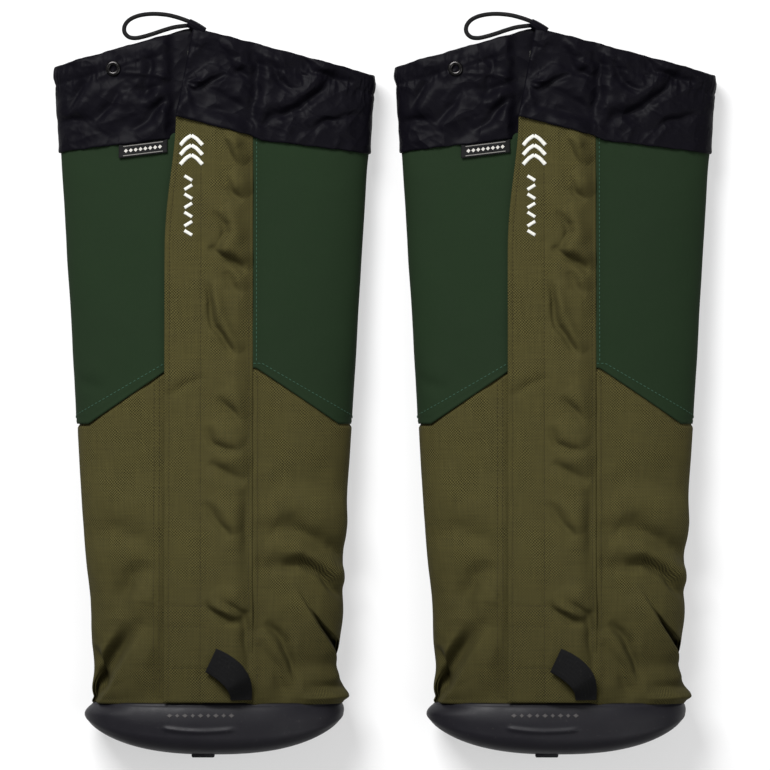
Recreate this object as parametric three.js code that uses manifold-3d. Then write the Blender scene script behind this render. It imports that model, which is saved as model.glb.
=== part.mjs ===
// A pair of full-length mountaineering gaiters, lying on their backs side by side.
// Millimetres, +Z up. Each leg runs along Y with its cuff towards +Y, and X is to the right.
// A gaiter is a flattened fabric tube on a soft rubber rand. Its front opening is closed by a zip
// that a storm flap covers; the flap hinges along its sewn right edge.

import * as THREE from 'three';
import { mergeVertices } from 'three/addons/utils/BufferGeometryUtils.js';
import Module from 'manifold-3d';

const wasm = await Module();
wasm.setup();

// ---------------------------------------------------------------- driving dimensions

const gap = 0.3; // between touching pieces

// widths of the flattened tube, cuff to rand
const cuffWidth = 217;
const calfWidth = 197;
const shinWidth = 183;
const ankleWidth = 168;
const randWidth = 174;
const pairClearance = 16; // between the two gaiters at their widest
const pairSpacing = Math.max(cuffWidth, calfWidth, shinWidth, ankleWidth, randWidth) + pairClearance;

// heights along the leg, measured from the middle of its length
const cuffCornerLeftY = 222;
const cuffCornerRightY = 216;
const cuffPeakY = 248;
const cuffPeakX = -14;
const cuffBaseSideY = 164;
const cuffBaseRise = 9;
const seamFrontY = 16;
const seamSideY = -22;
const randTopY = -211;

// thickness of the tube as it lies
const cuffDepth = 36;
const ankleDepth = 62;
const widestShare = 0.42; // height of the widest line, as a share of the thickness
const restFlat = 1.5; // how far the resting back is pressed flat

// fabric and rubber
const panelWall = 2;
const cuffWall = 2.5;
const cuffProud = 1.2;
const randWall = 3.5;
const randHeight = 22;
const randCurl = 13;
const randBulge = 2.4;
const randSideShare = 0.38;
const randHeelShare = 0.72;
const randTaper = 1.35;
const backPanelShare = 0.55; // half width of the back panels, as a share of the tube's

// front opening
const zipX = 8;
const slotWidth = 28;
const zipTopY = 168;
const zipBottomY = -203;
const teethWidth = 2.4;
const teethGap = 1.4;
const teethTop = 0.6;
const teethBase = -2.2;
const tapeTop = -0.5;
const tapeWall = 1;
const sliderLength = 11;
const sliderWidth = 11;
const sliderPlate = 1.2;
const pullerLength = 20;
const pullerWidth = 6;
const pullerWall = 1.2;

// storm flap
const flapWall = 1.5;
const flapFreeX = -33;
const flapTopX = -25.5;
const hingeX = 27;
const flapBottomY = -208;
const flapTopY = 188.8;
const flapTopSlope = 0.256;
const stripWidth = 22;
const stripWall = 0.8;
const zipCover = 4.4; // height of the flap's underside over the zip

// small pieces
const labelLength = 33;
const labelHeight = 9;
const labelTilt = 0.12;
const labelWall = 0.7;
const markWidth = 10.4;
const markLength = 70;
const markTopY = 174;
const markX = -17;
const markWall = 0.6;
const eyeletX = -68.3;
const eyeletY = 220;
const eyeletRadius = 5;
const eyeletBore = 2.4;
const eyeletBarrel = 3;
const cordDiameter = 3;
const tabWall = 2.6;
const tabRootY = -206.5;
const lugWidth = 15.6;
const lugHeight = 7;
const lugDepth = 3;
const lugX = -6.8;

// ---------------------------------------------------------------- materials

const finish = (color, roughness, metalness = 0) =>
  new THREE.MeshStandardMaterial({ color, roughness, metalness });

const finishes = {
  green: finish(0x2a3a26, 0.8),
  olive: finish(0x504a2c, 0.85),
  cuff: finish(0x1a1a1f, 0.55),
  rubber: finish(0x2f2e33, 0.5),
  webbing: finish(0x1b1b1a, 0.85),
  strip: finish(0x24241f, 0.95),
  tape: finish(0x17171a, 0.85),
  teeth: finish(0x1d1d20, 0.4),
  zinc: finish(0x8d8f92, 0.35, 1),
  nickel: finish(0xb9b9b6, 0.25, 1),
  label: finish(0x131315, 0.8),
  thread: finish(0xd9d9d2, 0.7),
  cord: finish(0x141416, 0.7),
};

// ---------------------------------------------------------------- the tube's surface

const { lerp, smoothstep, clamp } = THREE.MathUtils;
const signedPower = (value, power) => Math.sign(value) * Math.abs(value) ** power;
const frontPower = 2.4;
const backPower = 3.5;

const widthStations = [
  [-280, randWidth / 2],
  [randTopY, randWidth / 2 - 1],
  [-184, ankleWidth / 2],
  [-60, shinWidth / 2],
  [60, calfWidth / 2],
  [cuffCornerLeftY, cuffWidth / 2],
  [300, cuffWidth / 2 + 5],
];

// Smooth curve through the stations.
function halfWidth(y) {
  const stations = widthStations;
  let i = 0;
  while (i < stations.length - 2 && y > stations[i + 1][0]) i += 1;
  const slope = (j) => {
    const before = stations[Math.max(j - 1, 0)];
    const after = stations[Math.min(j + 1, stations.length - 1)];
    return (after[1] - before[1]) / (after[0] - before[0]);
  };
  const [y0, w0] = stations[i];
  const [y1, w1] = stations[i + 1];
  const s = clamp((y - y0) / (y1 - y0), 0, 1);
  const span = y1 - y0;
  const rise = s * s * (3 - 2 * s);
  const ease = s * (1 - s) * (1 - s) * slope(i) * span - s * s * (1 - s) * slope(i + 1) * span;
  return lerp(w0, w1, rise) + ease;
}

const depthSlope = (ankleDepth - cuffDepth) / (cuffCornerLeftY - randTopY);
const depthAt = (y) => cuffDepth + (cuffCornerLeftY - y) * depthSlope;

// A point of the section at y. The angle runs from the right fold over the front to the left fold,
// and on under the back. The front centre line is straight, so that the zip's slider can run on it.
function sectionPoint(y, angle) {
  const depth = depthAt(y);
  const middle = depth * widestShare;
  const front = Math.sin(angle) >= 0;
  const power = 2 / (front ? frontPower : backPower);
  const x = halfWidth(y) * signedPower(Math.cos(angle), power);
  const lift = Math.abs(Math.sin(angle)) ** power;
  const z = front ? middle + (depth - middle) * lift : middle - (middle + restFlat) * lift;
  return new THREE.Vector3(x, y, Math.max(z, 0));
}

function surfacePoint(y, angle, offset) {
  const step = 0.004;
  const point = sectionPoint(y, angle);
  const before = sectionPoint(y, angle - step);
  const after = sectionPoint(y, angle + step);
  const normal = new THREE.Vector3(after.z - before.z, 0, before.x - after.x).normalize();
  point.addScaledVector(normal, offset);
  point.z = Math.max(point.z, 0);
  return point;
}

const frontAngle = (y, x) => Math.acos(signedPower(x / halfWidth(y), frontPower / 2));
const backAngle = (y, x) => 2 * Math.PI - Math.acos(signedPower(x / halfWidth(y), backPower / 2));
const frontPoint = (x, y, offset) => surfacePoint(y, frontAngle(y, x), offset);

// ---------------------------------------------------------------- solids from grids and sections

function solidFrom(vertices, faces) {
  const geometry = new THREE.BufferGeometry();
  const positions = vertices.flatMap((point) => [point.x, point.y, point.z]);
  geometry.setAttribute('position', new THREE.Float32BufferAttribute(positions, 3));
  let volume = 0;
  for (const [a, b, c] of faces) {
    volume += vertices[a].dot(vertices[b].clone().cross(vertices[c]));
  }
  geometry.setIndex(faces.flatMap(([a, b, c]) => (volume > 0 ? [a, b, c] : [a, c, b])));
  geometry.computeVertexNormals();
  return geometry;
}

// A sheet with a wall: outer and inner give a point for (u, v), each from 0 to 1.
// A ring joins its last column to its first.
function sheetSolid(outer, inner, columns, rows, ring = false) {
  const vertices = [];
  const faces = [];
  const across = ring ? columns : columns + 1;
  for (const side of [outer, inner]) {
    for (let i = 0; i < across; i += 1) {
      for (let j = 0; j <= rows; j += 1) vertices.push(side(i / columns, j / rows));
    }
  }
  const index = (layer, i, j) => (layer * across + (i % across)) * (rows + 1) + j;
  const quad = (a, b, c, d) => faces.push([a, b, c], [a, c, d]);
  for (let i = 0; i < columns; i += 1) {
    for (let j = 0; j < rows; j += 1) {
      quad(index(0, i, j), index(0, i + 1, j), index(0, i + 1, j + 1), index(0, i, j + 1));
      quad(index(1, i, j), index(1, i, j + 1), index(1, i + 1, j + 1), index(1, i + 1, j));
    }
    quad(index(1, i, 0), index(1, i + 1, 0), index(0, i + 1, 0), index(0, i, 0));
    quad(index(0, i, rows), index(0, i + 1, rows), index(1, i + 1, rows), index(1, i, rows));
  }
  for (let j = 0; j < rows && !ring; j += 1) {
    quad(index(0, 0, j), index(0, 0, j + 1), index(1, 0, j + 1), index(1, 0, j));
    quad(index(1, columns, j), index(1, columns, j + 1), index(0, columns, j + 1), index(0, columns, j));
  }
  return solidFrom(vertices, faces);
}

// A strip on the front between two edges of x, with its underside and wall given as offsets.
function frontSheet({ left, right, bottom, top, under, wall, columns, rows }) {
  const at = (offset) => (u, v) => {
    const nominal = lerp(left(0), right(0), u);
    const y = lerp(bottom(nominal), top(nominal), v);
    const x = lerp(left(y), right(y), u);
    return frontPoint(x, y, offset(x, y));
  };
  const over = (x, y) => under(x, y) + wall;
  return sheetSolid(at(over), at(under), columns, rows);
}

const always = (value) => () => value;

function toSolid(geometry) {
  const bare = geometry.clone();
  for (const name of ['normal', 'uv']) bare.deleteAttribute(name);
  const merged = mergeVertices(bare, 1e-4);
  const vertProperties = Float32Array.from(merged.attributes.position.array);
  const triVerts = Uint32Array.from(merged.index.array);
  return new wasm.Manifold(new wasm.Mesh({ numProp: 3, vertProperties, triVerts }));
}

function fromSolid(solid) {
  const mesh = solid.getMesh();
  const geometry = new THREE.BufferGeometry();
  geometry.setAttribute('position', new THREE.Float32BufferAttribute(mesh.vertProperties, 3));
  geometry.setIndex([...mesh.triVerts]);
  geometry.computeVertexNormals();
  return geometry;
}

// Turns a geometry drawn about the origin so that it sits on the front at (x, y), at an offset.
const depthAngle = Math.atan(depthSlope);
function seatOnFront(geometry, x, y, offset) {
  const point = frontPoint(x, y, offset);
  const beside = frontPoint(x + 1, y, offset);
  const sideAngle = Math.atan(point.z - beside.z);
  return geometry.rotateY(sideAngle).rotateX(-depthAngle).translate(point.x, point.y, point.z);
}

// ---------------------------------------------------------------- edges between the panels

const isFront = (angle) => Math.sin(angle) >= 0;

function cuffTopEdge(x) {
  if (x < cuffPeakX) {
    const share = (x + cuffWidth / 2) / (cuffPeakX + cuffWidth / 2);
    return lerp(cuffCornerLeftY, cuffPeakY, share);
  }
  return lerp(cuffPeakY, cuffCornerRightY, (x - cuffPeakX) / (cuffWidth / 2 - cuffPeakX));
}

function cuffBottomEdge(x) {
  const share = clamp((cuffWidth / 2 - Math.abs(x)) / (cuffWidth / 2 - hingeX), 0, 1);
  return cuffBaseSideY + cuffBaseRise * share;
}

const overlapBottomEdge = (x) => flapTopY - flapTopSlope * (x - flapTopX);

function seamEdge(x) {
  const share = clamp((calfWidth / 2 - Math.abs(x)) / (calfWidth / 2 + flapFreeX), 0, 1);
  return lerp(seamSideY, seamFrontY, share);
}

// An edge of a panel that runs round the tube: its front stretch follows the front's line, and its
// back stretch is straight between the values at the two folds.
function aroundEdge(edge, angle) {
  const side = cuffWidth / 2;
  const reach = side * signedPower(Math.cos(angle), 2 / (isFront(angle) ? frontPower : backPower));
  if (isFront(angle)) return edge(reach);
  return lerp(edge(-side), edge(side), (reach + side) / (2 * side));
}

// A panel from the angle at its first edge to the angle at its second, between two edge lines.
function wrapPanel({ first, last, bottom, top, outer, wall, columns, rows }) {
  const at = (inward) => (u, v) => {
    const nominal = lerp(first(0), last(0), u);
    const y = lerp(aroundEdge(bottom, nominal), aroundEdge(top, nominal), v);
    const angle = lerp(first(y), last(y), u);
    const x = sectionPoint(y, angle).x;
    return surfacePoint(y, angle, (isFront(angle) ? outer(x) : outer(Math.sign(x) * cuffWidth)) - inward);
  };
  return sheetSolid(at(0), at(wall), columns, rows);
}

// ---------------------------------------------------------------- panels of the tube

const slotLeft = zipX - slotWidth / 2;
const slotRight = zipX + slotWidth / 2;
const backX = (y) => halfWidth(y) * backPanelShare;
const backGap = gap / 2;

function sidePanel(side, bottom, top, rows) {
  const slot = side < 0 ? slotLeft : slotRight;
  const first = (y) => frontAngle(y, slot);
  const last = (y) => backAngle(y, side * (backX(y) + backGap)) - (side < 0 ? 0 : 2 * Math.PI);
  return wrapPanel({ first, last, bottom, top, outer: always(0), wall: panelWall, columns: 14, rows });
}

function backPanel(bottom, top, rows) {
  const first = (y) => backAngle(y, -backX(y) + backGap);
  const last = (y) => backAngle(y, backX(y) - backGap);
  return wrapPanel({ first, last, bottom, top, outer: always(0), wall: panelWall, columns: 6, rows });
}

const half = gap / 2;
const upperBottom = (x) => seamEdge(x) + half;
const upperTop = (x) => cuffBottomEdge(x) - half;
const lowerBottom = always(randTopY + half);
const lowerTop = (x) => seamEdge(x) - half;

// ---------------------------------------------------------------- cuff

const underlapX = 4;
const overlapLeftTopX = cuffPeakX;
const overlapLeftX = (y) => flapTopX + (overlapLeftTopX - flapTopX) * (y - flapTopY) / (cuffPeakY - flapTopY);
const patchWall = stripWall;
const overlapUnder = 0.8; // underside of the overlap above the tube's surface, at its free side
const hookPatchUnder = overlapUnder - gap - patchWall;
const loopPatchUnder = hookPatchUnder - gap - patchWall;
const underlapOuter = loopPatchUnder - gap;
const hingeTop = 2; // height of the hinge line above the tube's surface
const cuffTop = (x) => cuffTopEdge(x);
const cuffBottom = (x) => cuffBottomEdge(x) + half;

// The left half steps down under the overlap.
function cuffLeft() {
  const outer = (x) => lerp(cuffProud, underlapOuter, smoothstep(x, flapTopX - 9, flapTopX - 2));
  const first = (y) => frontAngle(y, underlapX);
  const last = (y) => backAngle(y, -backGap);
  const sheet = wrapPanel({
    first, last, bottom: cuffBottom, top: cuffTop, outer, wall: cuffWall, columns: 30, rows: 3,
  });
  const drill = new THREE.CylinderGeometry(eyeletBarrel + gap, eyeletBarrel + gap, 16, 20);
  drill.rotateX(Math.PI / 2);
  const hole = toSolid(seatOnFront(drill, eyeletX, eyeletY, 0));
  return fromSolid(toSolid(sheet).subtract(hole));
}

function cuffRight() {
  const first = (y) => frontAngle(y, hingeX + gap);
  const last = (y) => backAngle(y, backGap) - 2 * Math.PI;
  return wrapPanel({
    first, last, bottom: cuffBottom, top: cuffTop, outer: always(cuffProud), wall: cuffWall,
    columns: 18, rows: 3,
  });
}

const overlapUnderAt = (x) => lerp(overlapUnder, hingeTop - cuffWall, smoothstep(x, underlapX, hingeX));

const cuffOverlap = () => frontSheet({
  left: overlapLeftX, right: always(hingeX - gap),
  bottom: overlapBottomEdge, top: (x) => cuffTopEdge(Math.max(x, cuffPeakX)),
  under: overlapUnderAt, wall: cuffWall, columns: 8, rows: 4,
});

const cuffPatch = (under) => frontSheet({
  left: always(cuffPeakX - 4), right: always(underlapX - 2),
  bottom: always(flapTopY + 8), top: always(cuffPeakY - 16),
  under: always(under), wall: patchWall, columns: 3, rows: 1,
});

// ---------------------------------------------------------------- front closure

const stripLeft = flapFreeX + 2.5;
const stripRight = stripLeft + stripWidth;
const loopUnder = gap;
const hookUnder = loopUnder + stripWall + gap;
const flapUnder = hookUnder + stripWall + gap;
const flapSeat = 0.4; // underside of the flap above the panel, at the sewn edge

function flapUnderAt(x) {
  const rise = lerp(flapUnder, zipCover, smoothstep(x, stripRight, zipX - sliderWidth / 2));
  return lerp(rise, flapSeat, smoothstep(x, zipX + sliderWidth / 2, hingeX - 1));
}

const flapLeftX = (y) => lerp(flapFreeX, flapTopX, smoothstep(y, 90, flapTopY) ** 1.3);

const stormFlap = () => frontSheet({
  left: flapLeftX, right: always(hingeX - gap),
  bottom: always(flapBottomY), top: (x) => overlapBottomEdge(x) - gap,
  under: flapUnderAt, wall: flapWall, columns: 16, rows: 8,
});

const closureStrip = (under, top) => frontSheet({
  left: (y) => Math.max(stripLeft, flapLeftX(y) + 1), right: always(stripRight),
  bottom: always(flapBottomY + 6), top: always(top),
  under: always(under), wall: stripWall, columns: 3, rows: 8,
});

const teethInner = teethGap / 2;
const teethOuter = teethInner + teethWidth;

const zipBar = (x0, x1, bottomY, under, wall) => frontSheet({
  left: always(Math.min(x0, x1)), right: always(Math.max(x0, x1)),
  bottom: always(bottomY), top: always(zipTopY), under: always(under), wall, columns: 1, rows: 6,
});

const zipTape = (side) => zipBar(
  zipX + side * (teethOuter + gap), zipX + side * (slotWidth / 2 - gap),
  randTopY + gap, tapeTop - tapeWall, tapeWall,
);

const zipTeeth = (side) => zipBar(
  zipX + side * teethInner, zipX + side * teethOuter, zipBottomY, teethBase, teethTop - teethBase,
);

// Two plates round the teeth, joined by a post that runs between them.
const sliderTop = teethTop + gap + sliderPlate;
function zipSlider() {
  const wide = sliderWidth / 2;
  const post = teethInner - gap;
  const plateTop = teethTop + gap;
  const plateBase = teethBase - gap;
  const outline = new THREE.Shape([
    [-wide, sliderTop], [-wide, plateTop], [-post, plateTop], [-post, plateBase],
    [-wide, plateBase], [-wide, plateBase - sliderPlate], [wide, plateBase - sliderPlate],
    [wide, plateBase], [post, plateBase], [post, plateTop], [wide, plateTop], [wide, sliderTop],
  ].map(([x, y]) => new THREE.Vector2(x, y)));
  const body = new THREE.ExtrudeGeometry(outline, { depth: sliderLength, bevelEnabled: false });
  body.rotateX(Math.PI / 2);
  return seatOnFront(body, zipX, zipTopY - 4, 0);
}

// A flat tab with a round end and an eye, lying along the teeth.
function zipPuller() {
  const wide = pullerWidth / 2;
  const outline = new THREE.Shape();
  outline.moveTo(-wide, 0);
  outline.lineTo(-wide, -(pullerLength - wide));
  outline.absarc(0, -(pullerLength - wide), wide, Math.PI, 2 * Math.PI, false);
  outline.lineTo(wide, 0);
  outline.closePath();
  const eye = new THREE.Path();
  eye.absarc(0, -(pullerLength - wide), wide / 2, 0, 2 * Math.PI, false);
  outline.holes.push(eye);
  const tab = new THREE.ExtrudeGeometry(outline, { depth: pullerWall, bevelEnabled: false, curveSegments: 8 });
  return seatOnFront(tab, zipX, zipTopY - 6, sliderTop + gap);
}

function zipStop() {
  const block = new THREE.BoxGeometry(2 * teethOuter, 4, teethTop - teethBase);
  return seatOnFront(block, zipX, zipBottomY - gap - 2, (teethTop + teethBase) / 2);
}

// ---------------------------------------------------------------- small pieces

// The webbing tab leaves the flap's lower right corner and bends over to the left.
function pullTab() {
  const rightEdge = new THREE.QuadraticBezierCurve(
    new THREE.Vector2(hingeX - 1, tabRootY), new THREE.Vector2(hingeX + 1, -184), new THREE.Vector2(3.7, -173),
  );
  const leftEdge = new THREE.QuadraticBezierCurve(
    new THREE.Vector2(15.5, tabRootY), new THREE.Vector2(10, -196), new THREE.Vector2(-4.4, -189.3),
  );
  const at = (raise) => (u, v) => {
    const place = leftEdge.getPoint(v).lerp(rightEdge.getPoint(v), u);
    return frontPoint(place.x, place.y, flapUnderAt(place.x) + flapWall + gap + 0.1 + raise);
  };
  return sheetSolid(at(tabWall), at(0), 4, 8);
}

function sideLabel() {
  const centreX = flapFreeX - 15;
  const centreY = cuffBottomEdge(centreX) - labelHeight / 2 - 1;
  const at = (raise) => (u, v) => {
    const x = (u - 0.5) * labelLength;
    const y = (v - 0.5) * labelHeight;
    return frontPoint(centreX + x, centreY + y + x * labelTilt, raise);
  };
  return sheetSolid(at(gap + labelWall), at(gap), 4, 1);
}

const threadMark = () => frontSheet({
  left: always(markX - markWidth / 2), right: always(markX + markWidth / 2),
  bottom: always(markTopY - markLength), top: always(markTopY),
  under: (x) => flapUnderAt(x) + flapWall + gap, wall: markWall, columns: 3, rows: 3,
});

// A rolled eyelet: a domed flange on the cuff and a barrel through it.
function eyelet() {
  const profile = [
    [eyeletBore, -cuffWall - 1], [eyeletBarrel, -cuffWall - 1], [eyeletBarrel, gap],
    [eyeletRadius, gap], [eyeletRadius - 0.4, gap + 1], [eyeletBore + 1.2, gap + 1.5],
    [eyeletBore, gap + 1], [eyeletBore, -cuffWall - 1],
  ].map(([r, z]) => new THREE.Vector2(r, z));
  const ring = new THREE.LatheGeometry(profile, 24);
  ring.rotateX(Math.PI / 2);
  return seatOnFront(ring, eyeletX, eyeletY, cuffProud);
}

// The elastic's free loop: out of the overlap's top corner, round, and back in beside itself.
const cordRoute = [
  [-13.2, 249.9, 36.6], [-18, 252.3, 36.9], [-24.8, 254.7, 36.4], [-31, 256.3, 35],
  [-38, 257.2, 33], [-45.2, 257.2, 31.2], [-52.2, 256, 29.8], [-57.8, 253.3, 29.4],
  [-60.9, 249.3, 29.8], [-61, 244.9, 30.6], [-58, 241.6, 31.6], [-53.2, 240.8, 32.6],
  [-47.4, 241.9, 33.4], [-41.2, 243.7, 34], [-34.3, 246, 34.6], [-27.2, 248, 35],
  [-20, 249, 35], [-16.2, 249.3, 34.4], [-13.2, 249.6, 33.4],
];

function drawcord() {
  const route = new THREE.CatmullRomCurve3(cordRoute.map((point) => new THREE.Vector3(...point)));
  const section = new THREE.Shape();
  section.absarc(0, 0, cordDiameter / 2, 0, 2 * Math.PI, false);
  return new THREE.ExtrudeGeometry(section, { steps: 20, curveSegments: 4, extrudePath: route });
}

// ---------------------------------------------------------------- rand

// Share of the rand's full size round the tube: full at the toe, least at the folds.
function randShare(angle) {
  return lerp(randSideShare, isFront(angle) ? 1 : randHeelShare, Math.abs(Math.sin(angle)) ** randTaper);
}

// The rand's side-on profile: how far down from its top edge, and how far out.
const randProfile = [[0, 0], [randHeight * 0.25, randBulge * 0.7], [randHeight * 0.6, randBulge], [randHeight, randBulge * 0.8]];
for (const turn of [25, 50, 75, 95]) {
  const angle = THREE.MathUtils.degToRad(turn);
  const out = randBulge * 0.8 - randCurl * (1 - Math.cos(angle));
  randProfile.push([randHeight + randCurl * Math.sin(angle), out]);
}

function randPoint(u, v, inward) {
  const angle = 2 * Math.PI * u;
  const share = randShare(angle);
  const place = v * (randProfile.length - 1);
  const i = Math.round(place);
  const before = randProfile[Math.max(i - 1, 0)];
  const after = randProfile[Math.min(i + 1, randProfile.length - 1)];
  const along = new THREE.Vector2(after[0] - before[0], after[1] - before[1]).normalize();
  const drop = share * randProfile[i][0] + along.y * inward;
  const rest = smoothstep(Math.sin(angle), -0.6, 0);
  const bulge = randProfile[i][1] > 0 ? randProfile[i][1] * rest : randProfile[i][1] * share;
  return surfacePoint(randTopY - half - drop, angle, bulge - along.x * inward);
}

const rand = () => sheetSolid(
  (u, v) => randPoint(u, v, 0), (u, v) => randPoint(u, v, randWall), 48, randProfile.length - 1, true,
);

const toeLip = randPoint(0.25, 1, 0);
const lugY = toeLip.y - gap - lugDepth / 2;
const toeLug = () => new THREE.BoxGeometry(lugWidth, lugDepth, lugHeight).translate(lugX, lugY, toeLip.z);

// ---------------------------------------------------------------- assembly

// Every piece of one gaiter, in the gaiter's own frame.
const pieces = {
  cuff_left: [cuffLeft, 'cuff'],
  cuff_right: [cuffRight, 'cuff'],
  cuff_overlap: [cuffOverlap, 'cuff'],
  cuff_hook_patch: [() => cuffPatch(hookPatchUnder), 'strip'],
  cuff_loop_patch: [() => cuffPatch(loopPatchUnder), 'strip'],
  upper_panel_left: [() => sidePanel(-1, upperBottom, upperTop, 5), 'green'],
  upper_panel_right: [() => sidePanel(1, upperBottom, upperTop, 5), 'green'],
  upper_panel_back: [() => backPanel(upperBottom, upperTop, 5), 'green'],
  lower_panel_left: [() => sidePanel(-1, lowerBottom, lowerTop, 6), 'olive'],
  lower_panel_right: [() => sidePanel(1, lowerBottom, lowerTop, 6), 'olive'],
  lower_panel_back: [() => backPanel(lowerBottom, lowerTop, 6), 'olive'],
  storm_flap: [stormFlap, 'olive'],
  hook_strip: [() => closureStrip(hookUnder, flapTopY - 22), 'strip'],
  loop_strip: [() => closureStrip(loopUnder, flapTopY - 22), 'strip'],
  zip_tape_left: [() => zipTape(-1), 'tape'],
  zip_tape_right: [() => zipTape(1), 'tape'],
  zip_teeth_left: [() => zipTeeth(-1), 'teeth'],
  zip_teeth_right: [() => zipTeeth(1), 'teeth'],
  zip_slider: [zipSlider, 'zinc'],
  zip_puller: [zipPuller, 'zinc'],
  zip_stop: [zipStop, 'zinc'],
  pull_tab: [pullTab, 'webbing'],
  side_label: [sideLabel, 'label'],
  thread_mark: [threadMark, 'thread'],
  eyelet: [eyelet, 'nickel'],
  drawcord: [drawcord, 'cord'],
  rand: [rand, 'rubber'],
  toe_lug: [toeLug, 'rubber'],
};

// The origin is on the ground under the middle of the pair, lug to cuff peak.
const pair = new THREE.Group();
pair.position.y = -(cuffPeakY + lugY - lugDepth / 2) / 2;

for (const [side, place] of [['left', -1], ['right', 1]]) {
  const gaiter = new THREE.Group();
  gaiter.position.x = place * pairSpacing / 2;
  for (const [name, [build, slot]] of Object.entries(pieces)) {
    const mesh = new THREE.Mesh(build(), finishes[slot]);
    mesh.name = `${side}_${name}`;
    gaiter.add(mesh);
  }
  pair.add(gaiter);
}

export default pair;
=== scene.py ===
"""A pair of full-length mountaineering gaiters laid flat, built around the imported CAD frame.

Lengths are millimetres in a gaiter's own frame until `to_row` turns them into metres. A gaiter's
frame has its leg along y, with y = 0 at the middle of its length, x across and z up from the ground.
"""
import math

import bmesh
import bpy
import numpy as np
from mathutils import Matrix, Vector


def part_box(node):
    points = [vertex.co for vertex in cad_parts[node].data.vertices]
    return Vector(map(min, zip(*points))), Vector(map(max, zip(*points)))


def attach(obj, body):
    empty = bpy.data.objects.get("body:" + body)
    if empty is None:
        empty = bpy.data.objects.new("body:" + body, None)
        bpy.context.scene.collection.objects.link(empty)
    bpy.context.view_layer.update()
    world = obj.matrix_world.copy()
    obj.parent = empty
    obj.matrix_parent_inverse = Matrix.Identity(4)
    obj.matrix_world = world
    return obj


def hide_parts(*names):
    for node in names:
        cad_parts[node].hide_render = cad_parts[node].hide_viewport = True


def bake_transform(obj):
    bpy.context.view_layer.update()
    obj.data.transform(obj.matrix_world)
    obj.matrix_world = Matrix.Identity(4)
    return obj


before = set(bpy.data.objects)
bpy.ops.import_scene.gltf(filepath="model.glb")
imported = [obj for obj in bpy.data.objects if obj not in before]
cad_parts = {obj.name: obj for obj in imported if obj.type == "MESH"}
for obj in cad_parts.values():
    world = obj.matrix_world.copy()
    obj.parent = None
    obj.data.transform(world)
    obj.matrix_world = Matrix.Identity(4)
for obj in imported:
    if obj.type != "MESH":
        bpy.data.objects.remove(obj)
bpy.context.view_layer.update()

MM = 0.001
SIDES = ("left", "right")
HALVES = ((-1, "left"), (1, "right"))  # of one gaiter, by the sign of x
scene = bpy.context.scene
scene.view_settings.view_transform = "Standard"

# ---------------------------------------------------------------- sizes, from the CAD model

CUFF_WIDTH, CALF_WIDTH, SHIN_WIDTH, ANKLE_WIDTH, RAND_WIDTH = 217, 197, 183, 168, 174
CUFF_CORNER_LEFT_Y, CUFF_CORNER_RIGHT_Y, CUFF_PEAK_Y, CUFF_PEAK_X = 222, 216, 248, -14
CUFF_BASE_SIDE_Y, CUFF_BASE_RISE = 164, 9
SEAM_FRONT_Y, SEAM_SIDE_Y, RAND_TOP_Y = 16, -22, -211
CUFF_DEPTH, ANKLE_DEPTH, WIDEST_SHARE, REST_FLAT = 36, 62, 0.42, 1.5
FRONT_POWER, BACK_POWER = 2.4, 3.5
RAND_HEIGHT, RAND_CURL, RAND_BULGE, RAND_WALL = 22, 13, 2.4, 3.5
BACK_SHARE = 0.55
ZIP_X, SLOT_WIDTH = 8, 28
FLAP_FREE_X, FLAP_TOP_X, HINGE_X = -33, -25.5, 27
FLAP_BOTTOM_Y = -210.4  # the cloth runs 2.4 lower than its solid
FLAP_TOP_Y, FLAP_TOP_SLOPE = 188.8, 0.256
STRIP_RIGHT_X, FLAP_UNDER, ZIP_COVER, FLAP_SEAT = -8.5, 2.5, 4.4, 0.4
SLIDER_HALF = 5.5
UNDERLAP_X = 4
EYELET_X, EYELET_Y = -68.3, 220
CORD_DIAMETER = 3
LABEL_LENGTH, LABEL_HEIGHT, LABEL_TILT = 33, 9, 0.12
TAB_ROOT_Y = -206.5

WIDTH_STATIONS = np.array([
    (-280, RAND_WIDTH / 2), (RAND_TOP_Y, RAND_WIDTH / 2 - 1), (-184, ANKLE_WIDTH / 2),
    (-60, SHIN_WIDTH / 2), (60, CALF_WIDTH / 2), (CUFF_CORNER_LEFT_Y, CUFF_WIDTH / 2),
    (300, CUFF_WIDTH / 2 + 5),
], float)


# ---------------------------------------------------------------- numbers

def ease(value, low, high):
    """0 below low, 1 above high, and smooth between."""
    share = np.clip((np.asarray(value, float) - low) / (high - low), 0, 1)
    return share * share * (3 - 2 * share)


def mix(a, b, share):
    return a + (b - a) * share


def bump(value, centre, width):
    """1 at the centre, falling smoothly to 0 over about twice the width."""
    return np.exp(-((value - centre) / width) ** 2)


def signed_power(value, power):
    return np.sign(value) * np.abs(value) ** power


def unit_grid(columns, rows, low=0.0, high=1.0):
    """Two arrays of (columns, rows), one that runs along the columns and one along the rows."""
    u = np.linspace(low, high, columns)[:, None] + np.zeros((1, rows))
    v = np.linspace(low, high, rows)[None, :] + np.zeros((columns, 1))
    return u, v


def evenly(line, count):
    """So many evenly spaced points along a flat line, and how far along it each one is."""
    reach = np.concatenate([[0], np.cumsum(np.linalg.norm(np.diff(line, axis=0), axis=1))])
    at = np.linspace(0, reach[-1], count)
    points = np.stack([np.interp(at, reach, line[:, 0]), np.interp(at, reach, line[:, 1])], -1)
    return points, at


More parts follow.
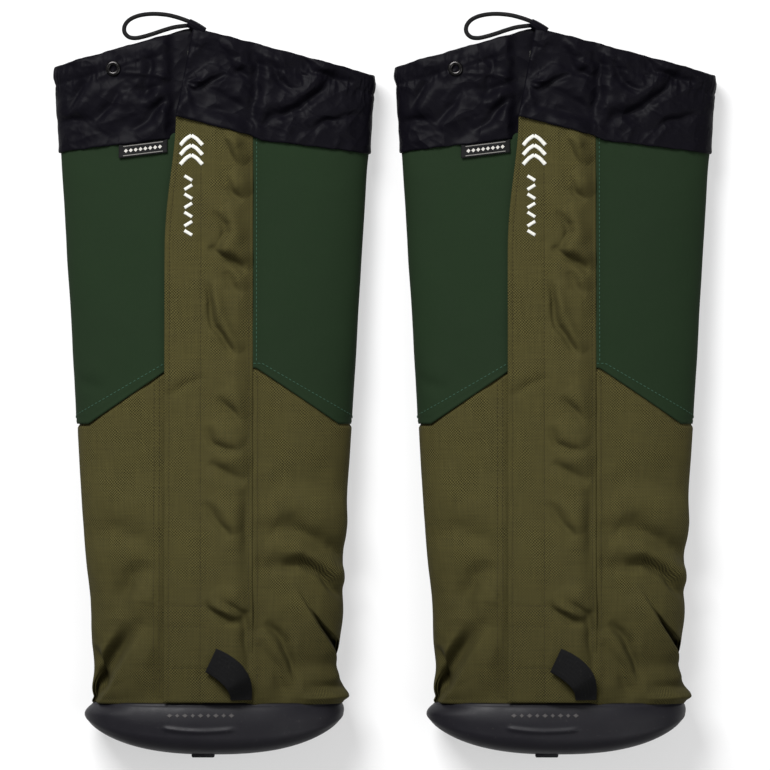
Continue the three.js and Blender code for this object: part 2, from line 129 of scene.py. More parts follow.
def noise(x, y, size, seed):
    """Smooth random field from about -1 to 1, with features about `size` across."""
    px, py = np.asarray(x, float) / size, np.asarray(y, float) / size
    px, py = 0.8 * px - 0.6 * py + seed * 0.37, 0.6 * px + 0.8 * py - seed * 0.61
    ix, iy = np.floor(px).astype(np.int64), np.floor(py).astype(np.int64)
    fx, fy = px - ix, py - iy

    def pull(dx, dy):
        n = ((ix + dx) * 374761393 + (iy + dy) * 668265263 + seed * 1442695041) & 0xFFFFFFFF
        n = ((n ^ (n >> 13)) * 1274126177) & 0xFFFFFFFF
        heading = ((n ^ (n >> 16)) & 0xFFFF) * (2 * math.pi / 65536)
        return np.cos(heading) * (fx - dx) + np.sin(heading) * (fy - dy)

    ux, uy = fx ** 3 * (fx * (6 * fx - 15) + 10), fy ** 3 * (fy * (6 * fy - 15) + 10)
    return 1.6 * mix(mix(pull(0, 0), pull(1, 0), ux), mix(pull(0, 1), pull(1, 1), ux), uy)


def ridges(x, y, size, seed):
    """Sharp-crested creases, from -1 to 1."""
    wobble = noise(x, y, size * 1.7, seed + 7) * size * 0.5
    return 1 - 2 * np.minimum(np.abs(noise(x + wobble, y - wobble, size, seed)), 1) ** 0.8


def from_line(points, x, y):
    """Signed distance from a line of points, positive on its left, and the share along it."""
    points = np.array(points, float)
    steps = np.diff(points, axis=0)
    lengths = np.hypot(steps[:, 0], steps[:, 1])
    starts = np.concatenate([[0], np.cumsum(lengths)])
    best = np.full(np.shape(x), 1e9)
    signed, share = np.zeros(np.shape(x)), np.zeros(np.shape(x))
    for (px, py), (sx, sy), length, start in zip(points, steps, lengths, starts):
        t = np.clip(((x - px) * sx + (y - py) * sy) / length ** 2, 0, 1)
        dx, dy = x - px - t * sx, y - py - t * sy
        distance = np.hypot(dx, dy)
        side = np.where(sx * (y - py) - sy * (x - px) >= 0, 1.0, -1.0)
        nearer = distance < best
        best = np.where(nearer, distance, best)
        signed = np.where(nearer, side * distance, signed)
        share = np.where(nearer, (start + t * length) / starts[-1], share)
    return signed, share


WAVER, WAVER_SIZE = 1.4, 13  # how far a fold strays from its drawn line, and over what length


def fold(x, y, line, width, depth, crest=0.7):
    """A crease along a line, and a soft crest on its left, or on its right where crest is negative."""
    x, y = x + WAVER * noise(x, y, WAVER_SIZE, 5), y + WAVER * noise(x, y, WAVER_SIZE, 6)
    signed, share = from_line(line, x, y)
    signed, crest = signed * math.copysign(1, crest), abs(crest)
    fade = np.sin(math.pi * np.clip(share, 0.001, 0.999)) ** 0.8
    valley = -depth * bump(signed, 0, width)
    swell = crest * depth * bump(signed, 2.6 * width, 2.0 * width)
    swell = swell * ease(signed, -width, width)
    return fade * (valley + swell)


# ---------------------------------------------------------------- the leg's surface

def half_width(y):
    y = np.asarray(y, float)
    ys, ws = WIDTH_STATIONS[:, 0], WIDTH_STATIONS[:, 1]
    i = np.clip(np.searchsorted(ys, y, side="left") - 1, 0, len(ys) - 2)
    order = np.arange(len(ys))
    before, after = np.maximum(order - 1, 0), np.minimum(order + 1, len(ys) - 1)
    slopes = (ws[after] - ws[before]) / (ys[after] - ys[before])
    span = ys[i + 1] - ys[i]
    s = np.clip((y - ys[i]) / span, 0, 1)
    smooth = mix(ws[i], ws[i + 1], s * s * (3 - 2 * s))
    return smooth + span * s * (1 - s) * ((1 - s) * slopes[i] - s * slopes[i + 1])


DEPTH_SLOPE = (ANKLE_DEPTH - CUFF_DEPTH) / (CUFF_CORNER_LEFT_Y - RAND_TOP_Y)


def section(y, angle):
    depth = CUFF_DEPTH + (CUFF_CORNER_LEFT_Y - y) * DEPTH_SLOPE
    middle = depth * WIDEST_SHARE
    front = np.sin(angle) >= 0
    power = np.where(front, 2 / FRONT_POWER, 2 / BACK_POWER)
    x = half_width(y) * signed_power(np.cos(angle), power)
    lift = np.abs(np.sin(angle)) ** power
    z = np.where(front, middle + (depth - middle) * lift, middle - (middle + REST_FLAT) * lift)
    return np.stack([x, y + 0 * x, np.maximum(z, 0)], -1)


def surface(y, angle, offset):
    """Points at an offset from the flattened tube, never below the ground."""
    step = 0.004
    point = section(y, angle)
    before, after = section(y, angle - step), section(y, angle + step)
    turn = after - before
    normal = np.stack([turn[..., 2], 0 * point[..., 0], -turn[..., 0]], -1)
    normal /= np.linalg.norm(normal, axis=-1, keepdims=True)
    point = point + normal * np.asarray(offset, float)[..., None]
    point[..., 2] = np.maximum(point[..., 2], 0)
    return point


def front_angle(y, x):
    return np.arccos(np.clip(signed_power(x / half_width(y), FRONT_POWER / 2), -1, 1))


def back_angle(y, x):
    return 2 * math.pi - np.arccos(np.clip(signed_power(x / half_width(y), BACK_POWER / 2), -1, 1))


def front(x, y, offset):
    x, y, offset = np.broadcast_arrays(*(np.asarray(v, float) for v in (x, y, offset)))
    return surface(y, front_angle(y, x), offset)


# distance round the tube from the front centre, on a middling section
TURN = np.linspace(-math.pi / 2, 5 * math.pi / 2, 1400)
MIDDLING = section(np.full(len(TURN), -10.0), TURN)
REACH = np.concatenate([[0], np.cumsum(np.linalg.norm(np.diff(MIDDLING, axis=0), axis=1))])
REACH -= np.interp(math.pi / 2, TURN, REACH)


def round_tube(angle):
    return np.interp(angle, TURN, REACH)


def frontness(angle):
    return ease(np.sin(angle), -0.15, 0.35)


# ---------------------------------------------------------------- edges

def cuff_top_edge(x):
    half = CUFF_WIDTH / 2
    left = mix(CUFF_CORNER_LEFT_Y, CUFF_PEAK_Y, (x + half) / (CUFF_PEAK_X + half))
    right = mix(CUFF_PEAK_Y, CUFF_CORNER_RIGHT_Y, (x - CUFF_PEAK_X) / (half - CUFF_PEAK_X))
    return np.where(x < CUFF_PEAK_X, left, right)


def cuff_bottom_edge(x):
    half = CUFF_WIDTH / 2
    return CUFF_BASE_SIDE_Y + CUFF_BASE_RISE * np.clip((half - np.abs(x)) / (half - HINGE_X), 0, 1)


def overlap_bottom_edge(x):
    return FLAP_TOP_Y - FLAP_TOP_SLOPE * (x - FLAP_TOP_X)


def seam_edge(x):
    half = CALF_WIDTH / 2
    return mix(SEAM_SIDE_Y, SEAM_FRONT_Y, np.clip((half - np.abs(x)) / (half + FLAP_FREE_X), 0, 1))


def around(edge, angle):
    """The edge's y at an angle: its own line in front, and straight between the folds behind."""
    side = CUFF_WIDTH / 2
    is_front = np.sin(angle) >= 0
    reach = side * signed_power(np.cos(angle), np.where(is_front, 2 / FRONT_POWER, 2 / BACK_POWER))
    behind = mix(edge(-side), edge(side), (reach + side) / (2 * side))
    return np.where(is_front, edge(reach), behind)


def overlap_left_x(y):
    share = (np.asarray(y, float) - FLAP_TOP_Y) / (CUFF_PEAK_Y - FLAP_TOP_Y)
    return mix(FLAP_TOP_X, CUFF_PEAK_X, share)


def flap_left_x(y):
    """The flap's free edge, which narrows towards the cuff and stays hidden under it."""
    seen = mix(FLAP_FREE_X, FLAP_TOP_X, ease(y, 90, FLAP_TOP_Y) ** 1.3)
    return np.where(y > FLAP_TOP_Y, overlap_left_x(y) + 1.5 * ease(y, FLAP_TOP_Y, FLAP_TOP_Y + 2), seen)


def flap_under(x):
    rise = mix(FLAP_UNDER, ZIP_COVER, ease(x, STRIP_RIGHT_X, ZIP_X - SLIDER_HALF))
    return mix(rise, FLAP_SEAT, ease(x, ZIP_X + SLIDER_HALF, HINGE_X - 1))


# ---------------------------------------------------------------- camera

CENTRE = {}
for side in SIDES:
    low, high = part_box(f"{side}_rand")
    CENTRE[side] = (low.x + high.x) / 2
SHIFT_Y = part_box("left_cuff_overlap")[1].y - CUFF_PEAK_Y * MM

FRAME_WIDTH = 0.5236  # metres
EYE_LEVEL = 0.04  # height at which the frame's width holds
FRAME_MIDDLE_Y = 0.0045
LENS, SENSOR = 300, 36

camera = bpy.data.objects.new("camera", bpy.data.cameras.new("camera"))
camera.data.lens = LENS
camera.data.sensor_width = SENSOR
distance = FRAME_WIDTH * LENS / camera.data.sensor_width
camera.location = (0, SHIFT_Y + FRAME_MIDDLE_Y, EYE_LEVEL + distance)
camera.data.clip_end = 20
scene.collection.objects.link(camera)
scene.camera = camera


# ---------------------------------------------------------------- meshes

def to_row(points, side="left"):
    return np.asarray(points, float) * MM + np.array([CENTRE[side], SHIFT_Y, 0])


def mesh_from(name, vertices, faces, smooth=True, uv=None):
    mesh = bpy.data.meshes.new(name)
    mesh.from_pydata([tuple(v) for v in vertices], [], [tuple(f) for f in faces])
    mesh.polygons.foreach_set("use_smooth", [smooth] * len(mesh.polygons))
    if uv is not None:
        layer = mesh.uv_layers.new(name="cloth")
        index = np.zeros(len(mesh.loops), np.int32)
        mesh.loops.foreach_get("vertex_index", index)
        layer.data.foreach_set("uv", np.asarray(uv, np.float32)[index].ravel())
    mesh.update()
    return mesh


def shell(name, outer, inner, uv=None, ring=False):
    """A closed sheet from two grids of points, in millimetres."""
    columns, rows = outer.shape[:2]
    index = np.arange(2 * columns * rows).reshape(2, columns, rows)
    top, under = index
    if ring:
        top, under = np.vstack([top, top[:1]]), np.vstack([under, under[:1]])

    def quads(a, b, c, d):
        return np.stack([a.ravel(), b.ravel(), c.ravel(), d.ravel()], -1)

    faces = [
        quads(top[:-1, :-1], top[1:, :-1], top[1:, 1:], top[:-1, 1:]),
        quads(under[:-1, :-1], under[:-1, 1:], under[1:, 1:], under[1:, :-1]),
        quads(under[:-1, 0], under[1:, 0], top[1:, 0], top[:-1, 0]),
        quads(top[:-1, -1], top[1:, -1], under[1:, -1], under[:-1, -1]),
    ]
    if not ring:
        faces.append(quads(top[0, :-1], top[0, 1:], under[0, 1:], under[0, :-1]))
        faces.append(quads(top[-1, :-1], under[-1, :-1], under[-1, 1:], top[-1, 1:]))
    faces = np.concatenate(faces)
    points = np.concatenate([outer.reshape(-1, 3), inner.reshape(-1, 3)])
    corner = points[faces[:, :3]]
    volume = np.einsum("ij,ij->i", corner[:, 0], np.cross(corner[:, 1], corner[:, 2])).sum()
    other = points[faces[:, [0, 2, 3]]]
    volume += np.einsum("ij,ij->i", other[:, 0], np.cross(other[:, 1], other[:, 2])).sum()
    if volume < 0:
        faces = faces[:, ::-1]
    if uv is not None:
        uv = np.concatenate([uv.reshape(-1, 2), uv.reshape(-1, 2)]) * MM
    return mesh_from(name, to_row(points), faces, uv=uv)


def rounded(outer_offset, inner_offset, columns, rows, size=3):
    """Offsets whose walls draw together at the grid's edges, so that each edge is a soft fold."""
    u = np.minimum(np.arange(columns), np.arange(columns)[::-1])[:, None]
    v = np.minimum(np.arange(rows), np.arange(rows)[::-1])[None, :]
    near = np.clip(np.minimum(u, v) / size, 0, 1)
    shape = np.sqrt(1 - (1 - near) ** 2) * 0.8 + 0.2
    middle, half = (outer_offset + inner_offset) / 2, (outer_offset - inner_offset) / 2
    return middle + half * shape, middle - half * shape


def cut_size(mesh):
    """A cloth piece's width and length laid flat, and its area, all from its own layout."""
    layer = np.zeros(len(mesh.loops) * 2, np.float32)
    mesh.uv_layers["cloth"].data.foreach_get("uv", layer)
    layer = layer.reshape(-1, 2).astype(float)
    size = layer.max(0) - layer.min(0)
    corners = layer.reshape(-1, 4, 2)
    a, b = corners[:, 2] - corners[:, 0], corners[:, 3] - corners[:, 1]
    return tuple(size), float(np.abs(a[:, 0] * b[:, 1] - a[:, 1] * b[:, 0]).sum() / 4)


def both_sides(mesh, name, material, body, replaced=(), held=None):
    """One piece on each gaiter, from a mesh made for the left one. A panel's held argument only makes it
    measure the piece's flat size and area, which are not kept.
    """
    made = []
    for side in SIDES:
        own = mesh if side == "left" else mesh.copy()
        if side == "right":
            points = np.zeros(len(own.vertices) * 3, np.float32)
            own.vertices.foreach_get("co", points)
            points = points.reshape(-1, 3) + np.float32([CENTRE["right"] - CENTRE["left"], 0, 0])
            own.vertices.foreach_set("co", points.ravel())
            own.update()
        piece = bpy.data.objects.new(f"{side}_{name}", own)
        scene.collection.objects.link(piece)
        own.materials.clear()
        own.materials.append(material)
        if body is not None:
            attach(piece, f"{side}_{body}")
        if replaced:
            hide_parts(*[f"{side}_{node}" for node in replaced])
        if held:
            flat, area = cut_size(own)
        made.append(piece)
    return made


# ---------------------------------------------------------------- shader building

class Graph:
    """Adds nodes to a tree. An input is a number, a colour, or another node's output."""

    def __init__(self, tree):
        self.tree = tree

    def add(self, kind, inputs=(), **settings):
        node = self.tree.nodes.new(kind)
        for key, value in settings.items():
            setattr(node, key, value)
        for key, value in dict(inputs).items():
            socket = node.inputs[key]
            if isinstance(value, bpy.types.NodeSocket):
                self.tree.links.new(value, socket)
            else:
                socket.default_value = value
        return node

    def math(self, operation, a, b=0.0, c=0.0):
        return self.add("ShaderNodeMath", {0: a, 1: b, 2: c}, operation=operation).outputs[0]

    def ramp(self, value, low, high, to_low=0.0, to_high=1.0):
        inputs = {"Value": value, "From Min": low, "From Max": high}
        inputs.update({"To Min": to_low, "To Max": to_high})
        return self.add("ShaderNodeMapRange", inputs, clamp=True).outputs[0]

    def blend(self, share, a, b):
        node = self.add("ShaderNodeMix", {0: share, 6: a, 7: b}, data_type="RGBA")
        return node.outputs[2]

    def noise(self, place, scale, detail=3.0, roughness=0.5):
        inputs = {"Vector": place, "Scale": scale, "Detail": detail, "Roughness": roughness}
        return self.add("ShaderNodeTexNoise", inputs).outputs[0]

    def link(self, socket, target):
        self.tree.links.new(socket, target)

    def from_middle(self, value, middle=0.5):
        """How far a value lies from a middle, on either side."""
        return self.math("ABSOLUTE", self.math("SUBTRACT", value, middle))

    def swing(self, value, gain, middle=0.5):
        """A value's difference from a middle, times a gain."""
        return self.math("MULTIPLY", self.math("SUBTRACT", value, middle), gain)

    def group(self, tree, **inputs):
        """A shared group, whose inputs are named here in lower case."""
        node = self.add("ShaderNodeGroup", node_tree=tree)
        for key, value in inputs.items():
            node.inputs[key.capitalize()].default_value = value
        return node

    def toned(self, color, value):
        inputs = {"Color": color, "Value": value}
        return self.add("ShaderNodeHueSaturation", inputs).outputs[0]

    def relief(self, height, distance, strength):
        inputs = {"Height": height, "Distance": distance, "Strength": strength}
        return self.add("ShaderNodeBump", inputs)

    def object_place(self):
        return self.add("ShaderNodeTexCoord").outputs["Object"]


def node_group(name, inputs, outputs, tree_kind="ShaderNodeTree"):
    """An empty group. Inputs are (name, kind of socket, value) and outputs (name, kind)."""
    tree = bpy.data.node_groups.new(name, tree_kind)
    for label, kind, value in inputs:
        socket_kind = "NodeSocket" + kind
        socket = tree.interface.new_socket(label, in_out="INPUT", socket_type=socket_kind)
        if value is not None:
            socket.default_value = value
    for label, kind in outputs:
        tree.interface.new_socket(label, in_out="OUTPUT", socket_type="NodeSocket" + kind)
    graph = Graph(tree)
    entry = tree.nodes.new("NodeGroupInput").outputs
    leave = tree.nodes.new("NodeGroupOutput").inputs
    return tree, graph, entry, leave


DUST_COLOR = (0.45, 0.43, 0.38, 1)
LABEL_PATTERN_COLOR = (0.42, 0.41, 0.38, 1)
FLOOR_COLOR = (0.4, 0.4, 0.402, 1)
WHITE = (1, 1, 1, 1)


def make_weave_group():
    """Crossing threads over and under, with uneven yarns. Period is two threads, in metres.

    Patchy is how unevenly the threads show, and Slub how much single yarns vary along their run.
    """
    tree, graph, entry, leave = node_group(
        "weave",
        [("UV", "Vector", None), ("Period", "Float", 0.002), ("Patchy", "Float", 0.5),
         ("Slub", "Float", 0.3)],
        [("Height", "Float"), ("Shade", "Float")],
    )
    split = graph.add("ShaderNodeSeparateXYZ", {0: entry["UV"]}).outputs
    turn = graph.math("DIVIDE", 2 * math.pi, entry["Period"])
    jitter = graph.swing(graph.noise(entry["UV"], 150.0, 3.0), 6.0)
    along = graph.math("MULTIPLY", split[0], turn)
    across = graph.math("MULTIPLY", split[1], turn)
    along = graph.math("SINE", graph.math("ADD", along, jitter))
    across = graph.math("SINE", graph.math("SUBTRACT", across, jitter))
    threads = graph.math("MULTIPLY", along, across)
    patches = graph.ramp(graph.noise(entry["UV"], 55.0, 3.0), 0.4, 0.6)
    bare = graph.math("SUBTRACT", 1.0, entry["Patchy"])
    show = graph.math("MULTIPLY_ADD", patches, entry["Patchy"], bare)
    threads = graph.math("MULTIPLY", threads, show)
    warp, weft = (
        graph.add("ShaderNodeVectorMath", {0: entry["UV"], 1: stretch}, operation="MULTIPLY")
        for stretch in ((900.0, 45.0, 1.0), (45.0, 900.0, 1.0))
    )
    yarns = [graph.noise(way.outputs[0], 1.0, 1.0) for way in (warp, weft)]
    yarns = graph.swing(graph.math("ADD", *yarns), entry["Slub"], 1.0)
    graph.link(graph.math("MULTIPLY_ADD", threads, 0.5, 0.5), leave["Height"])
    graph.link(graph.math("ADD", threads, graph.math("MULTIPLY", yarns, 4.0)), leave["Shade"])
    return tree


def make_crease_group():
    """The sharp, branching creases of thin coated nylon, as a height. Scale is creases in a metre."""
    tree, graph, entry, leave = node_group(
        "creases", [("Scale", "Float", 40.0)], [("Height", "Float")])
    place = graph.object_place()
    broad = graph.from_middle(graph.noise(place, entry["Scale"], 1.0, 0.4))
    closer = graph.math("MULTIPLY", entry["Scale"], 2.3)
    fine = graph.from_middle(graph.noise(place, closer, 0.0))
    height = graph.math("MULTIPLY_ADD", fine, 0.22, broad)
    graph.link(graph.math("MULTIPLY", height, -1.0), leave["Height"])
    return tree


def make_ageing_group():
    """Mottling and dust over a colour, and the roughness they bring."""
    tree, graph, entry, leave = node_group(
        "ageing",
        [("Color", "Color", None), ("Mottle", "Float", 0.1), ("Scale", "Float", 30.0),
         ("Grain", "Float", 0.1), ("Dust", "Float", 0.05)],
        [("Color", "Color"), ("Wear", "Float")],
    )
    place = graph.object_place()
    cloud = graph.noise(place, entry["Scale"], 5.0, 0.6)
    grain = graph.noise(place, 1500.0, 2.0, 0.6)
    broad, fine = graph.swing(cloud, entry["Mottle"]), graph.swing(grain, entry["Grain"])
    value = graph.math("ADD", 1.0, graph.math("ADD", broad, fine))
    toned = graph.toned(entry["Color"], value)
    specks = graph.ramp(graph.noise(place, 420.0, 4.0, 0.7), 0.62, 0.8)
    dust = graph.math("MULTIPLY", specks, entry["Dust"])
    graph.link(graph.blend(dust, toned, DUST_COLOR), leave["Color"])
    graph.link(graph.ramp(cloud, 0.3, 0.7), leave["Wear"])
    return tree


WEAVE, CREASES, AGEING = make_weave_group(), make_crease_group(), make_ageing_group()


def new_material(name):
    material = bpy.data.materials.new(name)
    material.use_nodes = True
    graph = Graph(material.node_tree)
    shader = material.node_tree.nodes["Principled BSDF"]
    return material, graph, shader


PAINTED_SHADE_REACH = 0.11  # how far up from the rand the painted shade darkens the cloth, in metres
WEAR = 0.06  # how far wear moves the roughness


def cloth(name, color, roughness=0.8, period=1.4, depth=0.25, contrast=0.3, patchy=0.5,
          slub=0.2, mottle=0.15, scale=30.0, grain=0.15, dust=0.04, sheen=0.0, shine=0.15,
          crumple=0.0, painted_foot_shade=0.0, coords="cloth"):
    """Woven fabric. Period and depth of the threads, and the crumple's depth, are in millimetres."""
    material, graph, shader = new_material(name)
    if coords == "cloth":
        place = graph.add("ShaderNodeUVMap", uv_map="cloth").outputs[0]
    else:
        place = graph.object_place()
    weave = graph.group(WEAVE, period=period * MM, patchy=patchy, slub=slub)
    graph.link(place, weave.inputs["UV"])
    age = graph.group(AGEING, color=(*color, 1), mottle=mottle, scale=scale, grain=grain, dust=dust)
    shade = graph.ramp(weave.outputs["Shade"], -1.0, 1.0, 1 - contrast / 2, 1 + contrast / 2)
    # painted shade: the cloth darkens towards the rand, standing in for the shade of the ankle folds
    if painted_foot_shade:
        height = graph.add("ShaderNodeSeparateXYZ", {0: place}).outputs[1]
        foot = RAND_TOP_Y * MM
        painted_shade_factor = graph.ramp(height, foot, foot + PAINTED_SHADE_REACH, 1 - painted_foot_shade, 1.0)
        shade = graph.math("MULTIPLY", shade, painted_shade_factor)
    graph.link(graph.toned(age.outputs["Color"], shade), shader.inputs["Base Color"])
    rough = graph.ramp(age.outputs["Wear"], 0, 1, roughness - WEAR, roughness + WEAR)
    graph.link(rough, shader.inputs["Roughness"])
    threads = graph.relief(weave.outputs["Height"], depth * MM, 0.8)
    if crumple:
        creased = graph.relief(graph.group(CREASES).outputs[0], crumple * MM, 1.0)
        graph.link(creased.outputs[0], threads.inputs["Normal"])
    graph.link(threads.outputs[0], shader.inputs["Normal"])
    shader.inputs["Sheen Weight"].default_value = sheen
    shader.inputs["Specular IOR Level"].default_value = shine
    return material


def woven_label(name, color, **looks):
    """Label cloth with a plain border and a row of pale lozenges."""
    material = cloth(name, color, **looks)
    graph, shader = Graph(material.node_tree), material.node_tree.nodes["Principled BSDF"]
    plain = shader.inputs["Base Color"].links[0].from_socket
    place = graph.add("ShaderNodeUVMap", uv_map="cloth").outputs[0]
    u, v = graph.add("ShaderNodeSeparateXYZ", {0: place}).outputs[:2]
    pitch, lozenge_half, row_half = 3.3 * MM, 1.35 * MM, 13.5 * MM
    border_at, border_half = 3.2 * MM, 0.25 * MM
    cell = graph.from_middle(graph.math("WRAP", u, pitch, 0.0), pitch / 2)
    rise = graph.math("ABSOLUTE", v)
    lozenge = graph.math("LESS_THAN", graph.math("ADD", cell, rise), lozenge_half)
    inside = graph.math("LESS_THAN", graph.math("ABSOLUTE", u), row_half)
    border = graph.math("COMPARE", rise, border_at, border_half)
    pattern = graph.math("MAXIMUM", lozenge, graph.math("MULTIPLY", border, 0.35))
    shown = graph.math("MULTIPLY", pattern, inside)
    graph.link(graph.blend(shown, plain, LABEL_PATTERN_COLOR), shader.inputs["Base Color"])
    return material


def srgb(r, g, b):
    """Linear colour from 0 to 255 display values."""
    return tuple(((c / 255 + 0.055) / 1.055) ** 2.4 if c > 10 else c / 255 / 12.92
                 for c in (r, g, b))


def rubber(name, color):
    material, graph, shader = new_material(name)
    place = graph.object_place()
    age = graph.group(AGEING, color=(*color, 1), mottle=0.35, scale=24.0, grain=0.12, dust=0.05)
    graph.link(age.outputs["Color"], shader.inputs["Base Color"])
    shader.inputs["Specular IOR Level"].default_value = 0.17
    scuff = graph.ramp(graph.noise(place, 90.0, 6.0, 0.7), 0.35, 0.7, 0.44, 0.56)
    graph.link(scuff, shader.inputs["Roughness"])
    pores = graph.relief(graph.noise(place, 1400.0, 3.0, 0.6), 0.00008, 0.6)
    graph.link(pores.outputs[0], shader.inputs["Normal"])
    return material


def metal(name, color, roughness):
    material, graph, shader = new_material(name)
    place = graph.object_place()
    age = graph.group(AGEING, color=(*color, 1), mottle=0.2, scale=260.0, grain=0.05, dust=0.02)
    graph.link(age.outputs["Color"], shader.inputs["Base Color"])
    scratches = graph.noise(place, 500.0, 4.0, 0.6)
    scuff = graph.ramp(scratches, 0.3, 0.7, roughness - 0.07, roughness + 0.1)
    graph.link(scuff, shader.inputs["Roughness"])
    shader.inputs["Metallic"].default_value = 1.0
    return material


GREEN = cloth("green_nylon", srgb(23, 36, 21), roughness=0.85, period=1.3, depth=0.05, contrast=0.1,
              patchy=0.4, mottle=0.3, scale=16.0, grain=0.25, dust=0.01, shine=0.08)
# the olive cloth carries painted shade, darker towards the rand, for the shade of the ankle folds
OLIVE = cloth("olive_pack_cloth", srgb(56, 52, 27), roughness=0.9, period=1.9, depth=0.3,
              contrast=1.9, patchy=0.8, slub=0.1, mottle=0.16, scale=60.0, grain=0.25, dust=0.02,
              shine=0.08, painted_foot_shade=0.22)
CRINKLE = cloth("cuff_nylon", srgb(9, 8, 13), roughness=0.48, period=0.6, depth=0.02, contrast=0.05,
                mottle=0.3, scale=40.0, grain=0.15, dust=0.01, shine=0.035, crumple=5.0)
CHANNEL = cloth("cord_channel", srgb(9, 8, 13), roughness=0.5, period=0.6, depth=0.02, contrast=0.05,
                mottle=0.3, scale=40.0, shine=0.03, coords="object")
WEBBING = cloth("tab_webbing", srgb(5, 5, 6), roughness=0.85, period=1.1, depth=0.3, contrast=0.5,
                patchy=0.1, mottle=0.2, grain=0.2, dust=0.03)
HOOKS = cloth("hook_and_loop", srgb(36, 36, 31), roughness=0.95, period=1.2, depth=0.6, contrast=0.6,
              patchy=0.2, grain=0.5, sheen=0.3, coords="object")
TAPE = cloth("zip_tape", srgb(24, 24, 26), roughness=0.9, period=0.8, depth=0.15, contrast=0.4,
             coords="object")
LABEL = woven_label("woven_label", srgb(12, 12, 13), roughness=0.8, period=0.7, depth=0.12,
                    contrast=0.4, patchy=0.1)
THREAD = cloth("pale_thread", srgb(196, 196, 190), roughness=0.6, period=0.8, depth=0.2, contrast=0.25,
               patchy=0.1, mottle=0.08, grain=0.12, dust=0.05, sheen=0.2, coords="object")
GREEN_THREAD, OLIVE_THREAD = (
    cloth(name, color, roughness=0.7, period=0.5, depth=0.05, contrast=0.2, coords="object")
    for name, color in (("green_thread", srgb(48, 76, 62)), ("olive_thread", srgb(44, 39, 17)))
)
BRAID = cloth("elastic_braid", srgb(7, 7, 8), roughness=0.65, period=1.0, depth=0.25, contrast=0.5,
              patchy=0.1, grain=0.2, coords="object")
RUBBER = rubber("rand_rubber", srgb(16, 15, 20))
MOULDED = rubber("moulded_lozenges", srgb(62, 60, 60))
TEETH = rubber("zip_teeth", srgb(30, 30, 32))
NICKEL = metal("nickel", srgb(42, 41, 41), 0.2)
ZINC = metal("black_zinc", srgb(60, 60, 64), 0.36)

# ---------------------------------------------------------------- drawcord

CORD_ROUTE = [
    (-13.2, 249.9, 36.6), (-18, 252.3, 36.9), (-24.8, 254.7, 36.4), (-31, 256.3, 35),
    (-38, 257.2, 33), (-45.2, 257.2, 31.2), (-52.2, 256, 29.8), (-57.8, 253.3, 29.4),
    (-60.9, 249.3, 29.8), (-61, 244.9, 30.6), (-58, 241.6, 31.6), (-53.2, 240.8, 32.6),
    (-47.4, 241.9, 33.4), (-41.2, 243.7, 34), (-34.3, 246, 34.6), (-27.2, 248, 35),
    (-20, 249, 35), (-16.2, 249.3, 34.4), (-13.2, 249.6, 33.4),
]


def through(points, per_span):
    """A smooth line through the points."""
    points = np.array(points, float)
    ends = np.vstack([2 * points[0] - points[1], points, 2 * points[-1] - points[-2]])
    line = []
    for a, b, c, d in zip(ends, ends[1:], ends[2:], ends[3:]):
        for t in np.arange(per_span) / per_span:
            square = (2 * a - 5 * b + 4 * c - d) * t ** 2
            cube = (3 * b - a - 3 * c + d) * t ** 3
            line.append(0.5 * (2 * b + (c - a) * t + square + cube))
    return np.array(line + [points[-1]])


def polylines(name, lines):
    """A curve of straight-sided lines, from points in metres."""
    curve = bpy.data.curves.new(name, "CURVE")
    curve.dimensions = "3D"
    for line in lines:
        spline = curve.splines.new("POLY")
        spline.points.add(len(line) - 1)
        spline.points.foreach_set("co", np.column_stack([line, np.ones(len(line))]).ravel())
        spline.use_smooth = True
    return curve


def drawcord(side):
    line = to_row(through(CORD_ROUTE, 4), side)
    curve = polylines(f"{side}_drawcord_loop", [line])
    curve.bevel_depth = CORD_DIAMETER / 2 * MM
    curve.bevel_resolution = 5
    curve.use_fill_caps = True
    piece = bpy.data.objects.new(f"{side}_drawcord_loop", curve)
    scene.collection.objects.link(piece)
    curve.materials.append(BRAID)
    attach(piece, f"{side}_flap")
    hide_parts(f"{side}_drawcord")


for side in SIDES:
    drawcord(side)


# ---------------------------------------------------------------- grids on the tube

EDGE_ROUNDS = 6  # tries to make a panel's side edges and its top and bottom edges meet


def wrap_grid(first, last, bottom, top, columns, rows):
    """Angles and heights of a panel that runs round the tube, as (columns, rows) arrays."""
    u, v = unit_grid(columns, rows)
    turn = mix(first(0.0), last(0.0), u)
    y = mix(around(bottom, turn), around(top, turn), v)
    for _ in range(EDGE_ROUNDS):
        low, high = y[:, :1], y[:, -1:]
        low = around(bottom, mix(first(low), last(low), u[:, :1]))
        high = around(top, mix(first(high), last(high), u[:, :1]))
        y = mix(low, high, v)
    return mix(first(y), last(y), u), y


def wrapped(name, first, last, bottom, top, columns, rows, offset, wall, drift=None):
    """A panel round the tube. offset(x, y, angle) is the height of its outer face."""
    angle, y = wrap_grid(first, last, bottom, top, columns, rows)
    x = section(y, angle)[..., 0]
    outer = offset(x, y, angle)
    outer, inner = rounded(outer, outer - wall, columns, rows)
    uv = np.stack([round_tube(angle), y], -1)
    outer, inner = surface(y, angle, outer), surface(y, angle, inner)
    if drift:
        sideways = drift(x, y, angle)
        outer, inner = outer + sideways, inner + sideways
    return shell(name, outer, inner, uv)


def flat_grid(left, right, bottom, top, columns, rows):
    u, v = unit_grid(columns, rows)
    y = 0 * u
    for _ in range(EDGE_ROUNDS):
        low = bottom(mix(left(y[:, :1]), right(y[:, :1]), u[:, :1]))
        high = top(mix(left(y[:, -1:]), right(y[:, -1:]), u[:, :1]))
        y = mix(low, high, v)
    return mix(left(y), right(y), u), y


